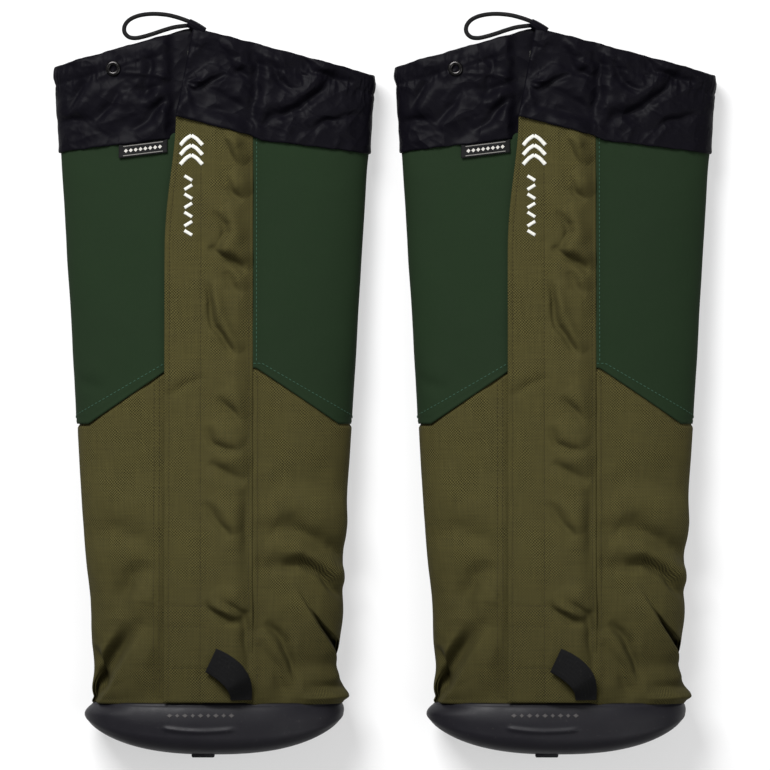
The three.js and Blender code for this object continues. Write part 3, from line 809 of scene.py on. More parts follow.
def laid(name, left, right, bottom, top, columns, rows, offset, wall):
    """A strip on the front. offset(x, y) is the height of its outer face."""
    x, y = flat_grid(left, right, bottom, top, columns, rows)
    outer = offset(x, y)
    outer, inner = rounded(outer, outer - wall, columns, rows)
    return shell(name, front(x, y, outer), front(x, y, inner), np.stack([x, y], -1))


def always(value):
    return lambda *_: value + 0.0


# ---------------------------------------------------------------- folds in the panels

def calm_cloth(y, angle, seed, swell):
    """Slow swells and smaller ones, weaker on the side that the gaiter lies on."""
    s = round_tube(angle)
    slow = noise(s, y, 46, seed) * swell + noise(s, y, 17, seed + 1) * swell * 0.25
    return slow * mix(0.3, 1, frontness(angle))


def puckers(distance, along, size, height, reach, seed):
    """Small gathers beside a stitched seam."""
    return height * noise(along, distance * 0.3, size, seed) * bump(distance, 0, reach)


ANKLE_FOLDS = [
    # line, width, depth, crest on the line's left
    ([(28, -112), (36, -118), (47, -118), (60, -116), (72, -122)], 5.0, 1.4, 0.8),
    ([(46, -118), (60, -116), (71, -122), (80, -131), (87, -140), (91, -150)], 3.2, 2.4, 0.8),
    ([(30, -88), (40, -93), (52, -93), (62, -98), (74, -105), (90, -114), (98, -124)],
     6.5, 2.8, 0.7),
    ([(35, -155), (43, -163), (49, -171), (53, -184), (57, -196)], 3.2, 2.6, -0.9),
    ([(31, -168), (38, -178), (44, -192), (51, -211)], 4.2, 1.9, -0.8),
    ([(94, -193), (84, -199), (74, -202), (60, -201)], 4, 2.6, 0.8),
    ([(28, -60), (44, -66), (70, -62), (88, -70)], 9, 0.8, 0.5),
    ([(-40, -118), (-50, -121), (-57, -127), (-62, -138), (-65, -154)], 6, 2.6, 0.7),
    ([(-82, -172), (-80, -182), (-77, -192), (-72, -203)], 3.2, 2.0, 0.8),
    ([(-36, -212), (-38, -188), (-36, -160)], 4, 1.2, 0.6),
    ([(-88, -100), (-66, -94), (-50, -100), (-40, -112)], 7, 1.1, 0.6),
]
RIGHT_PLEAT = [
    (52, -127), (56, -135), (61, -145), (68, -158), (75, -170), (82, -182), (86, -190),
]
RIGHT_BROW = [(49, -125), (57, -135), (66, -147), (74, -157), (81, -165), (92, -174)]
LEFT_PLEAT = [(-43, -158), (-50, -169), (-58, -181), (-65, -195), (-70, -203), (-79, -212)]


def pleat(x, y, line, hollow_side, rise, reach, lip):
    """A fold that stands up along a line, and falls away within a lip's width on its hollow side."""
    signed, share = from_line(line, x, y)
    signed = signed * hollow_side
    slope = bump(np.minimum(signed, 0), 0, reach) * (1 - ease(signed, 0, lip))
    return rise * ease(share, 0.0, 0.35) * slope


DEEP_POCKET, SLIGHT_POCKET, POCKET_FLOOR = 22, 14, 6


def lower_lean(x, y, angle):
    """The dark pockets beside the ankle folds, which go straight down.

    The right one lies between its pleat and its brow, and the left one beside its pleat.
    """
    rise = np.sin(angle)
    ridge, share = from_line(RIGHT_PLEAT, x, y)
    brow, _ = from_line(RIGHT_BROW, x, y)
    deep = DEEP_POCKET * ease(share, 0.0, 0.25) * ease(ridge, 0, 3) * ease(-brow, 0, 6)
    deep = deep * ease(rise, 0.05, 0.26)
    ridge, share = from_line(LEFT_PLEAT, x, y)
    slight = SLIGHT_POCKET * ease(share, 0.0, 0.5) * ease(-ridge, 0, 6)
    slight = slight * (1 - ease(-ridge, 8, 19)) * ease(rise, 0.1, 0.35)
    room = section(y, angle)[..., 2] - POCKET_FLOOR
    down = np.minimum(deep + slight, np.maximum(room, 0)) * (rise > 0)
    return np.stack([0 * down, 0 * down, -down], -1)


def ankle_outline(y, angle):
    """How the side folds leave the plain tube near the foot."""
    right, left = ease(np.cos(angle), 0.35, 0.95), ease(-np.cos(angle), 0.35, 0.95)
    bulges = 2.4 * bump(y, -152, 20) - 2.4 * bump(y, -185, 7) + 4.6 * bump(y, -206, 9)
    tucks = -1.6 * bump(y, -145, 25) - 2.0 * bump(y, -190, 14) - 5.5 * bump(y, -214, 9)
    return right * bulges + left * tucks


def lower_cloth(x, y, angle):
    s, shown = round_tube(angle), frontness(angle)
    height = calm_cloth(y, angle, 31, 0.6)
    lively = ease(-y, 60, 170)
    height = height + lively * shown * (noise(s, y, 22, 35) * 0.9 + noise(s, y, 9, 36) * 0.3)
    for line, width, depth, crest in ANKLE_FOLDS:
        height = height + shown * fold(x, y, line, 1.1 * width, 2.1 * depth, crest)
    height = height + shown * pleat(x, y, RIGHT_PLEAT, 1, 4.5, 13, 3)
    height = height + shown * pleat(x, y, LEFT_PLEAT, -1, 3.6, 14, 9)
    height = height + ankle_outline(y, angle)
    height = height + shown * puckers(y - RAND_TOP_Y, s, 10, 1.0, 8, 37)
    height = height + puckers(y - around(seam_edge, angle), s, 8, 0.3, 5, 38)
    return height * (1 - ease(RAND_TOP_Y + 4 - y, 0, 4) * 0.5)


def upper_cloth(x, y, angle):
    s = round_tube(angle)
    height = calm_cloth(y, angle, 21, 0.55)
    height = height + puckers(around(cuff_bottom_edge, angle) - y, s, 8, 0.5, 7, 22)
    height = height + puckers(y - around(seam_edge, angle), s, 9, 0.35, 6, 23)
    height = height + frontness(angle) * 0.5 * fold(x, y, [(-98, 14), (-88, 5), (-72, 2)], 4, 1.4)
    return height - 2.6 * ease(y - around(cuff_bottom_edge, angle), 0.8, 5)


# ---------------------------------------------------------------- panels

SLOT = {-1: ZIP_X - SLOT_WIDTH / 2, 1: ZIP_X + SLOT_WIDTH / 2}
PANEL_WALL = 1.8
TUCK = 3.0  # how far a panel runs on under its neighbour
CUFF_LAP = 20.0  # how far the upper panels run on under the cuff
SEAM_GAP = 0.15  # from a panel's edge to the seam
SEAM_STITCH = 3.2  # from the green panel's edge to its row of stitches
STITCH_DIP = 0.35  # how deep a row of stitches sinks


def side_range(side):
    turn = 0 if side < 0 else 2 * math.pi
    return (
        lambda y: front_angle(y, SLOT[side]),
        lambda y: back_angle(y, side * (half_width(y) * BACK_SHARE + SEAM_GAP)) - turn,
    )


def back_range():
    return (
        lambda y: back_angle(y, -half_width(y) * BACK_SHARE - TUCK),
        lambda y: back_angle(y, half_width(y) * BACK_SHARE + TUCK),
    )


def tucked_in(shape):
    """A back panel's height: its two side edges lie inside the side panels."""
    def height(x, y, angle):
        past = np.abs(x) - half_width(y) * BACK_SHARE
        return shape(x, y, angle) - 1.9 * ease(past, -2, 0)

    return height


def welt(x, angle):
    """The seam allowance that fills the step beside the flap's fixed edge."""
    rise = 0.7 * bump(x, HINGE_X + 0.6, 2.8) * ease(x, HINGE_X - 1.4, HINGE_X + 0.2)
    return rise * (np.sin(angle) > 0)


def upper_offset(x, y, angle):
    # the green panel's folded lower edge lies on the olive one
    edge = y - around(seam_edge, angle)
    hem = 0.9 * np.exp(-np.maximum(edge, 0) / 3.5) * frontness(angle)
    stitched = -STITCH_DIP * bump(edge, SEAM_STITCH, 1.0)
    return upper_cloth(x, y, angle) + hem + stitched + welt(x, angle) + 0.2


def lower_offset(x, y, angle):
    sunk = -1.6 * ease(y - around(seam_edge, angle), -TUCK, 0.5)
    return lower_cloth(x, y, angle) + welt(x, angle) + sunk


def panel_top(x):
    """The upper panels' top edge, out of sight under the cuff."""
    return cuff_bottom_edge(x) + CUFF_LAP


panel_foot = always(RAND_TOP_Y - 1.0)

for side, word in HALVES:
    mesh = wrapped(f"upper_panel_{word}", *side_range(side), seam_edge, panel_top,
                   118, 120, upper_offset, PANEL_WALL)
    both_sides(mesh, f"upper_cloth_{word}", GREEN, "gaiter", [f"upper_panel_{word}"],
               held="stretched")
    mesh = wrapped(f"lower_panel_{word}", *side_range(side), panel_foot,
                   lambda x: seam_edge(x) + TUCK, 170, 240, lower_offset, PANEL_WALL,
                   drift=lower_lean)
    both_sides(mesh, f"lower_cloth_{word}", OLIVE, "gaiter", [f"lower_panel_{word}"],
               held="stretched")

for name, bottom, top, material, slot, shape in (
    ("upper", lambda x: seam_edge(x) + SEAM_GAP, panel_top, GREEN, "green_fabric", upper_cloth),
    ("lower", panel_foot, lambda x: seam_edge(x) - SEAM_GAP, OLIVE, "olive_fabric", lower_cloth),
):
    mesh = wrapped(f"{name}_panel_back", *back_range(), bottom, top, 70, 90,
                   tucked_in(shape), PANEL_WALL)
    both_sides(mesh, f"{name}_cloth_back", material, "gaiter", [f"{name}_panel_back"],
               held="stretched")


# ---------------------------------------------------------------- storm flap

FLAP_FOLDS = [
    ([(4, 186), (5, 172), (9, 162), (17, 151)], 2.8, 2.2, 1.5),
    ([(6, 147), (12, 137), (20, 129)], 2.8, 1.8, 1.3),
    ([(1, 122), (7, 114), (8, 108), (3, 101), (-3, 96)], 2.6, 2.2, 0.8),
    ([(-3, 99), (6, 92), (14, 88), (22, 80)], 2.6, 2.8, 0.9),
    ([(9, 82), (12, 72), (19, 64)], 3.0, 1.5, 0.8),
    ([(-4, 76), (-3, 58), (1, 44), (7, 34), (15, 23)], 2.2, 2.8, 0.9),
    ([(-33, -5), (-20, 4), (-5, 11)], 3.0, 1.4, 0.8),
    ([(2, -4), (10, -11), (19, -21)], 3.0, 1.8, 0.8),
    ([(-7, -24), (1, -35), (9, -40), (20, -42)], 3.2, 2.0, 0.8),
    ([(-4, -49), (8, -54), (22, -61)], 4.0, 1.9, 0.8),
    ([(-7, -76), (2, -87), (12, -100)], 3.4, 2.0, 0.8),
    ([(21, -66), (23, -85), (22, -118)], 3.6, 1.1, -0.6),
    ([(-1, -139), (12, -145), (20, -151), (23, -162), (24, -190)], 2.8, 2.0, 0.8),
    ([(-7, -142), (2, -151), (9, -156), (22, -157)], 2.4, 2.4, 0.9),
    ([(8, -196), (14, -202), (20, -206)], 3, 1.2, 0.8),
]
FLAP_WALL = 1.3
FLAP_TOP_FACE = 1.5  # from the flap's under side to its top, in the CAD model
STRIP_SEAM_X = -8.5
EDGE_STITCH = 3.4  # from the flap's free edge to its row of stitches
FLAP_BARS = (-145, -159, -187)  # cross-stitching that holds the hook strip's end


def flap_offset(x, y):
    base = flap_under(x) + FLAP_TOP_FACE - 0.5 * ease(x, 20, HINGE_X)
    height = 0 * base
    loose = ease(x, STRIP_SEAM_X, STRIP_SEAM_X + 6) * (1 - 0.7 * ease(x, 21, HINGE_X))
    for line, width, depth, crest in FLAP_FOLDS:
        height = height + fold(x, y, line, width, 1.9 * depth, crest) * mix(0.45, 1, loose)
    height = height + loose * (noise(x, y, 24, 51) * 0.8 + noise(x, y, 10, 52) * 0.35)
    height = height + (1 - loose) * noise(x * 0.4, y, 13, 53) * 0.16
    height = height * (1 - ease(y - overlap_bottom_edge(x), -9, -1))
    # it rests on the teeth, and on the slider at either end of its run
    parked = ease(y, 132, 142) + ease(-y, 160, 168)
    lowest = mix(2.6, ZIP_COVER + 1.0, parked) * ease(x, -6, 1) * (1 - ease(x, 15, 22))
    height = base + height
    height = lowest + 0.5 * (height - lowest + np.sqrt((height - lowest) ** 2 + 0.5))
    height = height - STITCH_DIP * bump(x, STRIP_SEAM_X, 1.0)
    height = height + puckers(x - STRIP_SEAM_X, y, 7, 0.25, 4, 54)
    free = x - flap_left_x(y)
    height = height + 0.35 * bump(free, 1.2, 1.6) - 0.25 * bump(free, EDGE_STITCH, 0.8)
    height = height - 1.3 * ease(y - overlap_bottom_edge(x), 0.8, 4)
    for bar in FLAP_BARS:
        height = height - 0.3 * bump(y, bar, 1.0) * ease(-x, 4, 6)
    return height


mesh = laid("storm_flap", flap_left_x, always(HINGE_X - 0.2), always(FLAP_BOTTOM_Y),
            lambda x: overlap_bottom_edge(x) + 7, 74, 400, flap_offset, FLAP_WALL)
both_sides(mesh, "storm_flap_cloth", OLIVE, "flap", ["storm_flap"],
           held="laid")


# ---------------------------------------------------------------- cuff

GATHER = (-20, 211)


def hem_waver(x):
    """The small unevenness of a sewn edge."""
    return 0.4 * noise(x, 0 * x, 11, 66) + 0.25 * noise(x, 0 * x, 4.5, 67)


CUFF_WALL = 1.3
CUFF_FOLDS = [
    ([(-21, 208), (-33, 198), (-45, 186), (-56, 176)], 3.0, 2.6, 0.9),
    ([(-24, 211), (-38, 207), (-50, 204), (-62, 205)], 2.6, 1.8, 0.8),
    ([(-20, 206), (-27, 196), (-31, 184)], 2.4, 1.8, 0.8),
    ([(-45, 236), (-44, 222), (-46, 205), (-50, 196)], 3.2, 1.6, 0.8),
    ([(-64, 206), (-70, 196), (-82, 182)], 3, 1.6, 0.9),
    ([(-82, 218), (-92, 204), (-101, 188)], 3.2, 1.9, 0.9),
    ([(-108, 181), (-95, 186), (-80, 184)], 3, 1.6, 0.8),
    ([(-18, 205), (-8, 206), (0, 212), (8, 217)], 2.2, 2.8, 0.9),
    ([(10, 217), (18, 217), (25, 213)], 2.2, 1.9, 0.9),
    ([(-14, 203), (0, 202), (14, 196), (24, 190)], 3.2, 1.6, 0.9),
    ([(2, 240), (8, 226), (14, 216)], 3, 1.6, 0.8),
    ([(26, 240), (30, 216), (27, 196), (24, 176)], 3.6, 1.9, 0.7),
    ([(32, 178), (40, 187), (58, 193), (72, 204), (86, 221)], 3.2, 2.3, 0.9),
    ([(58, 228), (68, 218), (84, 214), (100, 209)], 3, 1.8, 0.9),
    ([(60, 176), (78, 184), (100, 190)], 3, 1.5, 0.8),
    ([(38, 226), (44, 212), (56, 203)], 2.8, 1.6, 0.8),
]


def cuff_crinkle(x, y, angle):
    s, shown = round_tube(angle), frontness(angle)
    lively = 0.7 + 0.3 * noise(s, y, 30, 61)
    lively = lively * (1 - 0.75 * ease(np.abs(np.cos(angle)), 0.8, 1.0))
    height = 1.2 * ridges(s + 0.5 * y, y * 0.7, 19, 62) * lively
    height = height + 0.4 * ridges(s - 0.7 * y, y, 9, 63) * lively
    height = height + 0.08 * ridges(s, y, 4, 64)
    for line, width, depth, crest in CUFF_FOLDS:
        height = height + shown * fold(x, y, line, width, 1.4 * depth, crest)
    # the elastic's channel, and the gathers that it pulls
    channel = around(cuff_top_edge, angle) - y
    height = height + 0.8 * bump(channel, 6, 4) - 0.5 * bump(channel, 13, 1.6)
    height = height + 0.6 * ridges(s * 2.2, y * 0.5, 9, 65) * bump(channel, 12, 8)
    # the cord inside, from the eyelet to the gathered point
    inside, _ = from_line([(EYELET_X + 6, EYELET_Y - 3), (-45, 216), GATHER], x, y)
    cord = 0.8 * bump(inside, 0, 1.3) * shown
    height = height + cord * ease(x, EYELET_X, EYELET_X + 10) * (x < -19)
    # creases that run out of the gathered point
    dx, dy = x - GATHER[0], y - GATHER[1]
    radius, bearing = np.hypot(dx, dy), np.arctan2(dy, dx)
    rays = 1 - 2 * np.abs(np.sin(4.5 * bearing + 0.8 * np.sin(2 * bearing)))
    drawn = bump(radius, 0, 30) * (1 - bump(radius, 0, 5)) * shown
    return height + 0.9 * rays * drawn - 1.6 * bump(radius, 0, 6) * shown


def beneath(angle):
    """1 on the side that the gaiter lies on, and 0 in front."""
    return ease(-np.sin(angle), 0.3, 0.9)


def cuff_left_offset(x, y, angle):
    is_front = np.sin(angle) >= 0
    drop = np.where(is_front, ease(x, FLAP_TOP_X - 9, FLAP_TOP_X - 1), 0)
    calm = 1 - 0.85 * drop
    hem = 0.7 * np.exp(-(y - around(cuff_bottom_edge, angle)) / 4)
    inside = np.where(is_front, 0, 1.4 * ease(x, -2, 0))
    base = mix(mix(1.3, 0, beneath(angle)), -1.7, drop) - inside
    return base + (cuff_crinkle(x, y, angle) + hem) * calm


def cuff_right_offset(x, y, angle):
    is_front = np.sin(angle) >= 0
    over = np.where(is_front, 1 - ease(x, UNDERLAP_X, HINGE_X + 6), 0)
    base = mix(mix(1.5, 0, beneath(angle)), 3.3, over)
    hem_edge = around(cuff_bottom_edge, angle)
    above = y - np.where(is_front & (x < HINGE_X), overlap_bottom_edge(x), hem_edge)
    flap_top = flap_under(np.clip(x, FLAP_TOP_X, HINGE_X)) + FLAP_TOP_FACE
    cover = np.where(is_front, flap_top + 0.5 + CUFF_WALL, 0)
    ragged = x + 3 * noise(x * 0, y, 17, 68)
    cover = cover * np.where(is_front, 1 - ease(ragged, HINGE_X - 1, HINGE_X + 15), 0)
    lifted = mix(base, np.maximum(base, cover), 1 - ease(above, 2, 11))
    crinkle = cuff_crinkle(x, y, angle)
    crinkle = mix(crinkle, np.maximum(crinkle, 0.3 * crinkle), over)
    hem = 0.6 * np.exp(-np.maximum(above, 0) / 4)
    calm = mix(0.55, 1, ease(above, 0, 8))
    return lifted + crinkle * calm + hem


mesh = wrapped("cuff_left", lambda y: front_angle(y, UNDERLAP_X), lambda y: back_angle(y, TUCK),
               lambda x: cuff_bottom_edge(x) - 0.6 + hem_waver(x),
               lambda x: cuff_top_edge(x) + hem_waver(x + 50),
               230, 74, cuff_left_offset, CUFF_WALL)
both_sides(mesh, "cuff_cloth_left", CRINKLE, "gaiter", ["cuff_left"],
           held="gathered")


def at_left_corner(x):
    return x < -CUFF_WIDTH / 2 + 1


def cuff_right_top(x):
    """The collar's top edge: no higher than the peak, and the left corner's height behind."""
    seen_x = np.where(at_left_corner(x), x, np.maximum(x, CUFF_PEAK_X))
    return cuff_top_edge(seen_x) + hem_waver(x)


def cuff_right_bottom(x):
    """The overlap's slanted edge, and past the hinge the collar's own, down by its hem."""
    past_hinge = ease(x, HINGE_X - 4, HINGE_X + 8)
    joined = mix(overlap_bottom_edge(x), cuff_bottom_edge(x), past_hinge)
    return np.where(at_left_corner(x), cuff_bottom_edge(x), joined) - 1.6 + hem_waver(x)


# the right half's front is a piece of its own, and its back is fixed to the gaiter: they meet in the side
# fold
LAP_ANGLE = 0.03
mesh = wrapped("cuff_right", lambda y: front_angle(y, overlap_left_x(y)), always(-LAP_ANGLE),
               cuff_right_bottom, cuff_right_top, 190, 84, cuff_right_offset, CUFF_WALL)
cuff_right = both_sides(mesh, "cuff_cloth_right", CRINKLE, None, ["cuff_overlap", "cuff_right"],
                        held="gathered")
for piece, side in zip(cuff_right, SIDES):
    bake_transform(piece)
mesh = wrapped("cuff_behind", always(LAP_ANGLE), lambda y: back_angle(y, 0.1) - 2 * math.pi,
               cuff_right_bottom, cuff_right_top, 90, 74, cuff_right_offset, CUFF_WALL)
both_sides(mesh, "cuff_cloth_behind", CRINKLE, "gaiter",
           held="gathered")

# ---------------------------------------------------------------- rand

RAND_RIDGE = 1.1
SIDE_SHARE, TOE_SHARE, HEEL_SHARE, RAND_TAPER = 0.38, 1.0, 0.72, 1.35


def rand_share(angle):
    """The rand is deepest at the toe, and tapers to a shallow band at the sides."""
    middle = np.where(np.sin(angle) >= 0, TOE_SHARE, HEEL_SHARE)
    return mix(SIDE_SHARE, middle, np.abs(np.sin(angle)) ** RAND_TAPER)


def rand_profile(count):
    """How far down from the top edge, and how far out, along the rand's outer face."""
    turn_out = RAND_BULGE * 0.8
    straight = [(0, 0), (RAND_HEIGHT * 0.25, RAND_BULGE * 0.7), (RAND_HEIGHT * 0.6, RAND_BULGE),
                (RAND_HEIGHT, turn_out)]
    curl = [(RAND_HEIGHT + RAND_CURL * math.sin(a), turn_out - RAND_CURL * (1 - math.cos(a)))
            for a in np.radians([12, 25, 38, 50, 62, 75, 85, 95])]
    line = through([(d, o, 0) for d, o in straight + curl], 12)[:, :2]
    return evenly(line, count)[0]


def rand_relief(x, angle, drop):
    """A raised crescent on the toe, a bead along the top edge, and a slack, uneven pull."""
    shown = frontness(angle)
    crescent = drop - (15.5 + 3.5 * np.cos(np.clip((x + 9) / 25, -1.5, 1.5)))
    relief = RAND_RIDGE * bump(crescent, 0, 1.5) * ease(26 - np.abs(x + 9), 0, 6)
    relief = relief + 0.5 * bump(drop, 1.2, 1.0)
    return (relief + 0.9 * noise(round_tube(angle), drop * 0.6, 40, 71)) * shown


def rand_points(columns, rows):
    profile = rand_profile(rows)
    along = np.gradient(profile, axis=0)
    along /= np.linalg.norm(along, axis=1, keepdims=True)
    angle = (2 * math.pi * np.arange(columns) / columns)[:, None] + np.zeros((1, rows))
    share = rand_share(angle)
    rest = ease(np.sin(angle), -0.6, 0)
    drop, out = share * profile[None, :, 0], profile[None, :, 1] + np.zeros((columns, 1))
    out = np.where(out > 0, out * rest, out * share)
    x = section(RAND_TOP_Y - drop, angle)[..., 0]
    relief = rand_relief(x, angle, profile[None, :, 0] + 0 * x)
    tucked = ease(-np.cos(angle), 0.5, 0.97) * (1 - ease(drop, -2, 9))
    relief = relief - 6.0 * tucked
    outer = surface(RAND_TOP_Y - drop, angle, out + relief)
    inward = drop + along[None, :, 1] * RAND_WALL
    inner = surface(RAND_TOP_Y - inward, angle, out - along[None, :, 0] * RAND_WALL)
    return outer, inner


outer, inner = rand_points(330, 56)
both_sides(shell("rand", outer, inner, ring=True), "rand_moulding", RUBBER, "gaiter", ["rand"])


def lozenges():
    """A row of small raised lozenges moulded on the toe of the rand."""
    profile = rand_profile(80)
    vertices, faces = [], []
    for k in range(9):
        middle_x = -29 + 5.2 * k
        wide = 2.0 if k % 2 else 2.6
        base = len(vertices)
        for dx, dy, rise in ((-wide, 0, -0.4), (0, -1.9, -0.4), (wide, 0, -0.4), (0, 1.9, -0.4),
                             (-wide * 0.6, 0, 0.45), (0, -1.2, 0.45), (wide * 0.6, 0, 0.45), (0, 1.2, 0.45)):
            x, drop = middle_x + dx, 8.2 - dy
            angle = front_angle(RAND_TOP_Y - drop, x)
            out = np.interp(drop, profile[:, 0], profile[:, 1])
            out = out + rand_relief(np.array(x), angle, np.array(drop))
            vertices.append(surface(np.array(RAND_TOP_Y - drop), angle, out + rise))
        faces += [(base + 4, base + 5, base + 6, base + 7), (base + 3, base + 2, base + 1, base)]
        for i in range(4):
            j = (i + 1) % 4
            faces.append((base + i, base + j, base + 4 + j, base + 4 + i))
    return mesh_from("rand_lozenges", to_row(np.array(vertices)), faces, smooth=False)


both_sides(lozenges(), "rand_lozenges", MOULDED, "gaiter")

# ---------------------------------------------------------------- pull tab

TAB_WIDTH, TAB_LENGTH = 18, 34


def bend(a, b, c, t):
    """A point on the curve from a to c that b pulls."""
    a, b, c = (np.array(p, float) for p in (a, b, c))
    return (1 - t) ** 2 * a + 2 * t * (1 - t) * b + t ** 2 * c


def pull_tab():
    columns, rows = 30, 90
    u = np.linspace(0, 1, columns)[:, None, None]
    v = np.linspace(0, 1, rows)[None, :, None]
    right = bend((26, TAB_ROOT_Y - 2), (28.5, -184), (2.5, -173.5), v)
    left = bend((12, TAB_ROOT_Y - 2), (12, -198), (-5, -189.5), v)
    place = mix(left, right, u)
    x, y = place[..., 0], place[..., 1]
    u, v = u[..., 0] + 0 * x, v[..., 0] + 0 * x
    # it stands up steeply from its root, turns over, and comes down towards its free end
    arch = 8.5 * ease(v, 0, 0.42) - 6.0 * ease(v, 0.42, 1.05) - 0.8 * (1 - u)
    ribs = 0.28 * np.abs(np.sin(math.pi * v * 24)) + 0.12 * np.cos(2 * math.pi * u * 7)
    height = flap_under(x) + FLAP_TOP_FACE + 0.8 + arch
    selvedge = np.sqrt(np.clip(1 - (2 * u - 1) ** 8, 0, 1))
    cut_end = np.sqrt(np.clip(1 - np.clip((v - 0.94) / 0.06, 0, 1) ** 3, 0, 1))
    edge = mix(0.25, 1, selvedge * cut_end)
    middle, half = height + 1.2, 1.25 * edge
    outer = front(x, y, middle + half + ribs * edge)
    inner = front(x, y, middle - half - ribs * edge)
    return shell("pull_tab", outer, inner, np.stack([u * TAB_WIDTH, v * TAB_LENGTH], -1))


both_sides(pull_tab(), "pull_tab_webbing", WEBBING, "pull_tab", ["pull_tab"])

# ---------------------------------------------------------------- label, mark and eyelet

def side_label():
    columns, rows = 40, 14
    u, v = unit_grid(columns, rows, -0.5, 0.5)
    centre_x = FLAP_FREE_X - 15
    x, y = u * LABEL_LENGTH, v * LABEL_HEIGHT + LABEL_TILT * u * LABEL_LENGTH
    centre_y = float(cuff_bottom_edge(centre_x)) - LABEL_HEIGHT / 2 - 1
    lift = 1.0 + 0.5 * bump(v, -0.5, 0.25) + 0.25 * noise(u * 30, v * 9, 9, 81)
    faces = (front(centre_x + x, centre_y + y, offset)
             for offset in rounded(lift + 0.45, lift - 0.15, columns, rows, 2))
    return shell("side_label", *faces, np.stack([u * LABEL_LENGTH, v * LABEL_HEIGHT], -1))


both_sides(side_label(), "side_label_woven", LABEL, "gaiter", ["side_label"])


def cord_mouth():
    """The gathered end of the cord's channel, at the cuff's peak, with both strands inside it."""
    count, rings = 40, 14
    start, finish = np.array([-6.5, 244.8, 35.2]), np.array([-17.5, 251.2, 35.2])
    along = (finish - start) / np.linalg.norm(finish - start)
    across = np.array([along[1], -along[0], 0.0]) / math.hypot(along[0], along[1])
    upward = np.cross(across, along)
    turn = (2 * math.pi * np.arange(count) / count)[:, None]
    share = np.linspace(0, 1, rings)[None, :]
    gather = 1 + 0.07 * np.sin(9 * turn + 2 * share) * (1 - 0.5 * share)
    swell = 1 + 0.12 * np.sin(math.pi * share)

    def ring(wall):
        flat = (2.9 * swell * gather - wall)[..., None] * np.cos(turn)[..., None] * across
        tall = (3.9 * swell * gather - wall)[..., None] * np.sin(turn)[..., None] * upward
        return start + (finish - start) * share[..., None] + flat + tall

    return shell("cord_mouth", ring(0.0), ring(0.6), ring=True)


both_sides(cord_mouth(), "cord_mouth", CHANNEL, "flap")


def stroke(points, width, count=24, rows=9, rise=0.5):
    """A satin-stitched bar along a line on the flap: two grids for a shell."""
    line, at = evenly(through([(*p, 0) for p in points], 8)[:, :2], count)
    along = np.gradient(line, axis=0)
    along /= np.linalg.norm(along, axis=1, keepdims=True)
    across = np.stack([-along[:, 1], along[:, 0]], -1)
    w = np.linspace(-0.5, 0.5, rows)[None, :, None]
    place = line[:, None] + across[:, None] * w * width
    ends = np.minimum(np.arange(count), np.arange(count)[::-1])[:, None]
    dome = np.sqrt(np.clip(1 - (2 * w[..., 0]) ** 2, 0, 1)) * np.clip(ends / 2, 0.1, 1)
    threads = 0.08 * np.sin(at[:, None] * 2 * math.pi / 0.9)
    x, y = place[..., 0], place[..., 1]
    base = flap_offset(x, y)
    return front(x, y, base + 0.15 + (rise + threads) * dome), front(x, y, base - 0.1 - 0 * dome)


def stitched_mark():
    """Three chevrons over a column of slanting bars that zig-zag, in pale thread."""
    bars, half = [], 7.5
    for k in range(3):
        top = 174 - 6.6 * k
        bars.append(([(-15 - half, top - 6.5), (-15 - half / 2, top - 2.4), (-15, top)], 2.6))
        bars.append(([(-15, top), (-15 + half / 2, top - 2.4), (-15 + half, top - 6.5)], 2.6))
    for k in range(7):
        y = 145 - 6.2 * k
        lean = 2.6 if k % 2 else -2.6
        bars.append(([(-17 - lean, y - 1.6), (-17, y), (-17 + lean, y + 1.6)], 2.2))
    meshes = [shell("bar", *stroke(points, width)) for points, width in bars]
    joined = bmesh.new()
    for mesh in meshes:
        joined.from_mesh(mesh)
        bpy.data.meshes.remove(mesh)
    mark = bpy.data.meshes.new("thread_mark")
    joined.to_mesh(mark)
    joined.free()
    return mark


both_sides(stitched_mark(), "stitched_mark", THREAD, "flap", ["thread_mark"])


def turned(name, profile, centre, tilt, count=48):
    """A closed profile of (radius, height) turned about a tilted axis."""
    profile = np.array(profile, float)
    turn = 2 * math.pi * np.arange(count) / count
    radius, height = profile[None, :, 0], profile[None, :, 1] + 0 * turn[:, None]
    across, upward = np.cos(turn)[:, None], np.sin(turn)[:, None]
    points = np.stack([radius * across, radius * upward, height], -1)
    points = points @ tilt.T + centre
    index = np.arange(count * len(profile)).reshape(count, len(profile))
    a, b = index, np.roll(index, -1, 0)
    faces = np.stack([a, b, np.roll(b, -1, 1), np.roll(a, -1, 1)], -1).reshape(-1, 4)
    return mesh_from(name, to_row(points.reshape(-1, 3)), faces)


def seat(x, y, offset):
    """Where a small piece sits on the front, and how it is turned to lie flat there."""
    centre = front(x, y, offset)
    side_step = front(x + 1, y, offset) - centre
    normal = np.cross(side_step, front(x, y + 1, offset) - centre)
    normal /= np.linalg.norm(normal)
    across = side_step / np.linalg.norm(side_step)
    return centre, np.stack([across, np.cross(normal, across), normal], 1)


def eyelet():
    roll = [(3.7 + 1.35 * math.cos(a), 0.5 + 0.75 * math.sin(a))
            for a in np.linspace(-0.4, math.pi + 0.2, 12)]
    profile = [(2.4, -3.2), (3.0, -3.2), (3.0, -0.1), (4.9, -0.1)] + roll + [(2.4, -0.2)]
    centre, tilt = seat(EYELET_X, EYELET_Y, 2.3)
    mesh = turned("eyelet", profile, centre, tilt)
    bm = bmesh.new()
    bm.from_mesh(mesh)
    bmesh.ops.recalc_face_normals(bm, faces=bm.faces)
    bm.to_mesh(mesh)
    bm.free()
    return mesh


both_sides(eyelet(), "eyelet_ring", NICKEL, "gaiter", ["eyelet"])

# ---------------------------------------------------------------- stitching, by geometry nodes

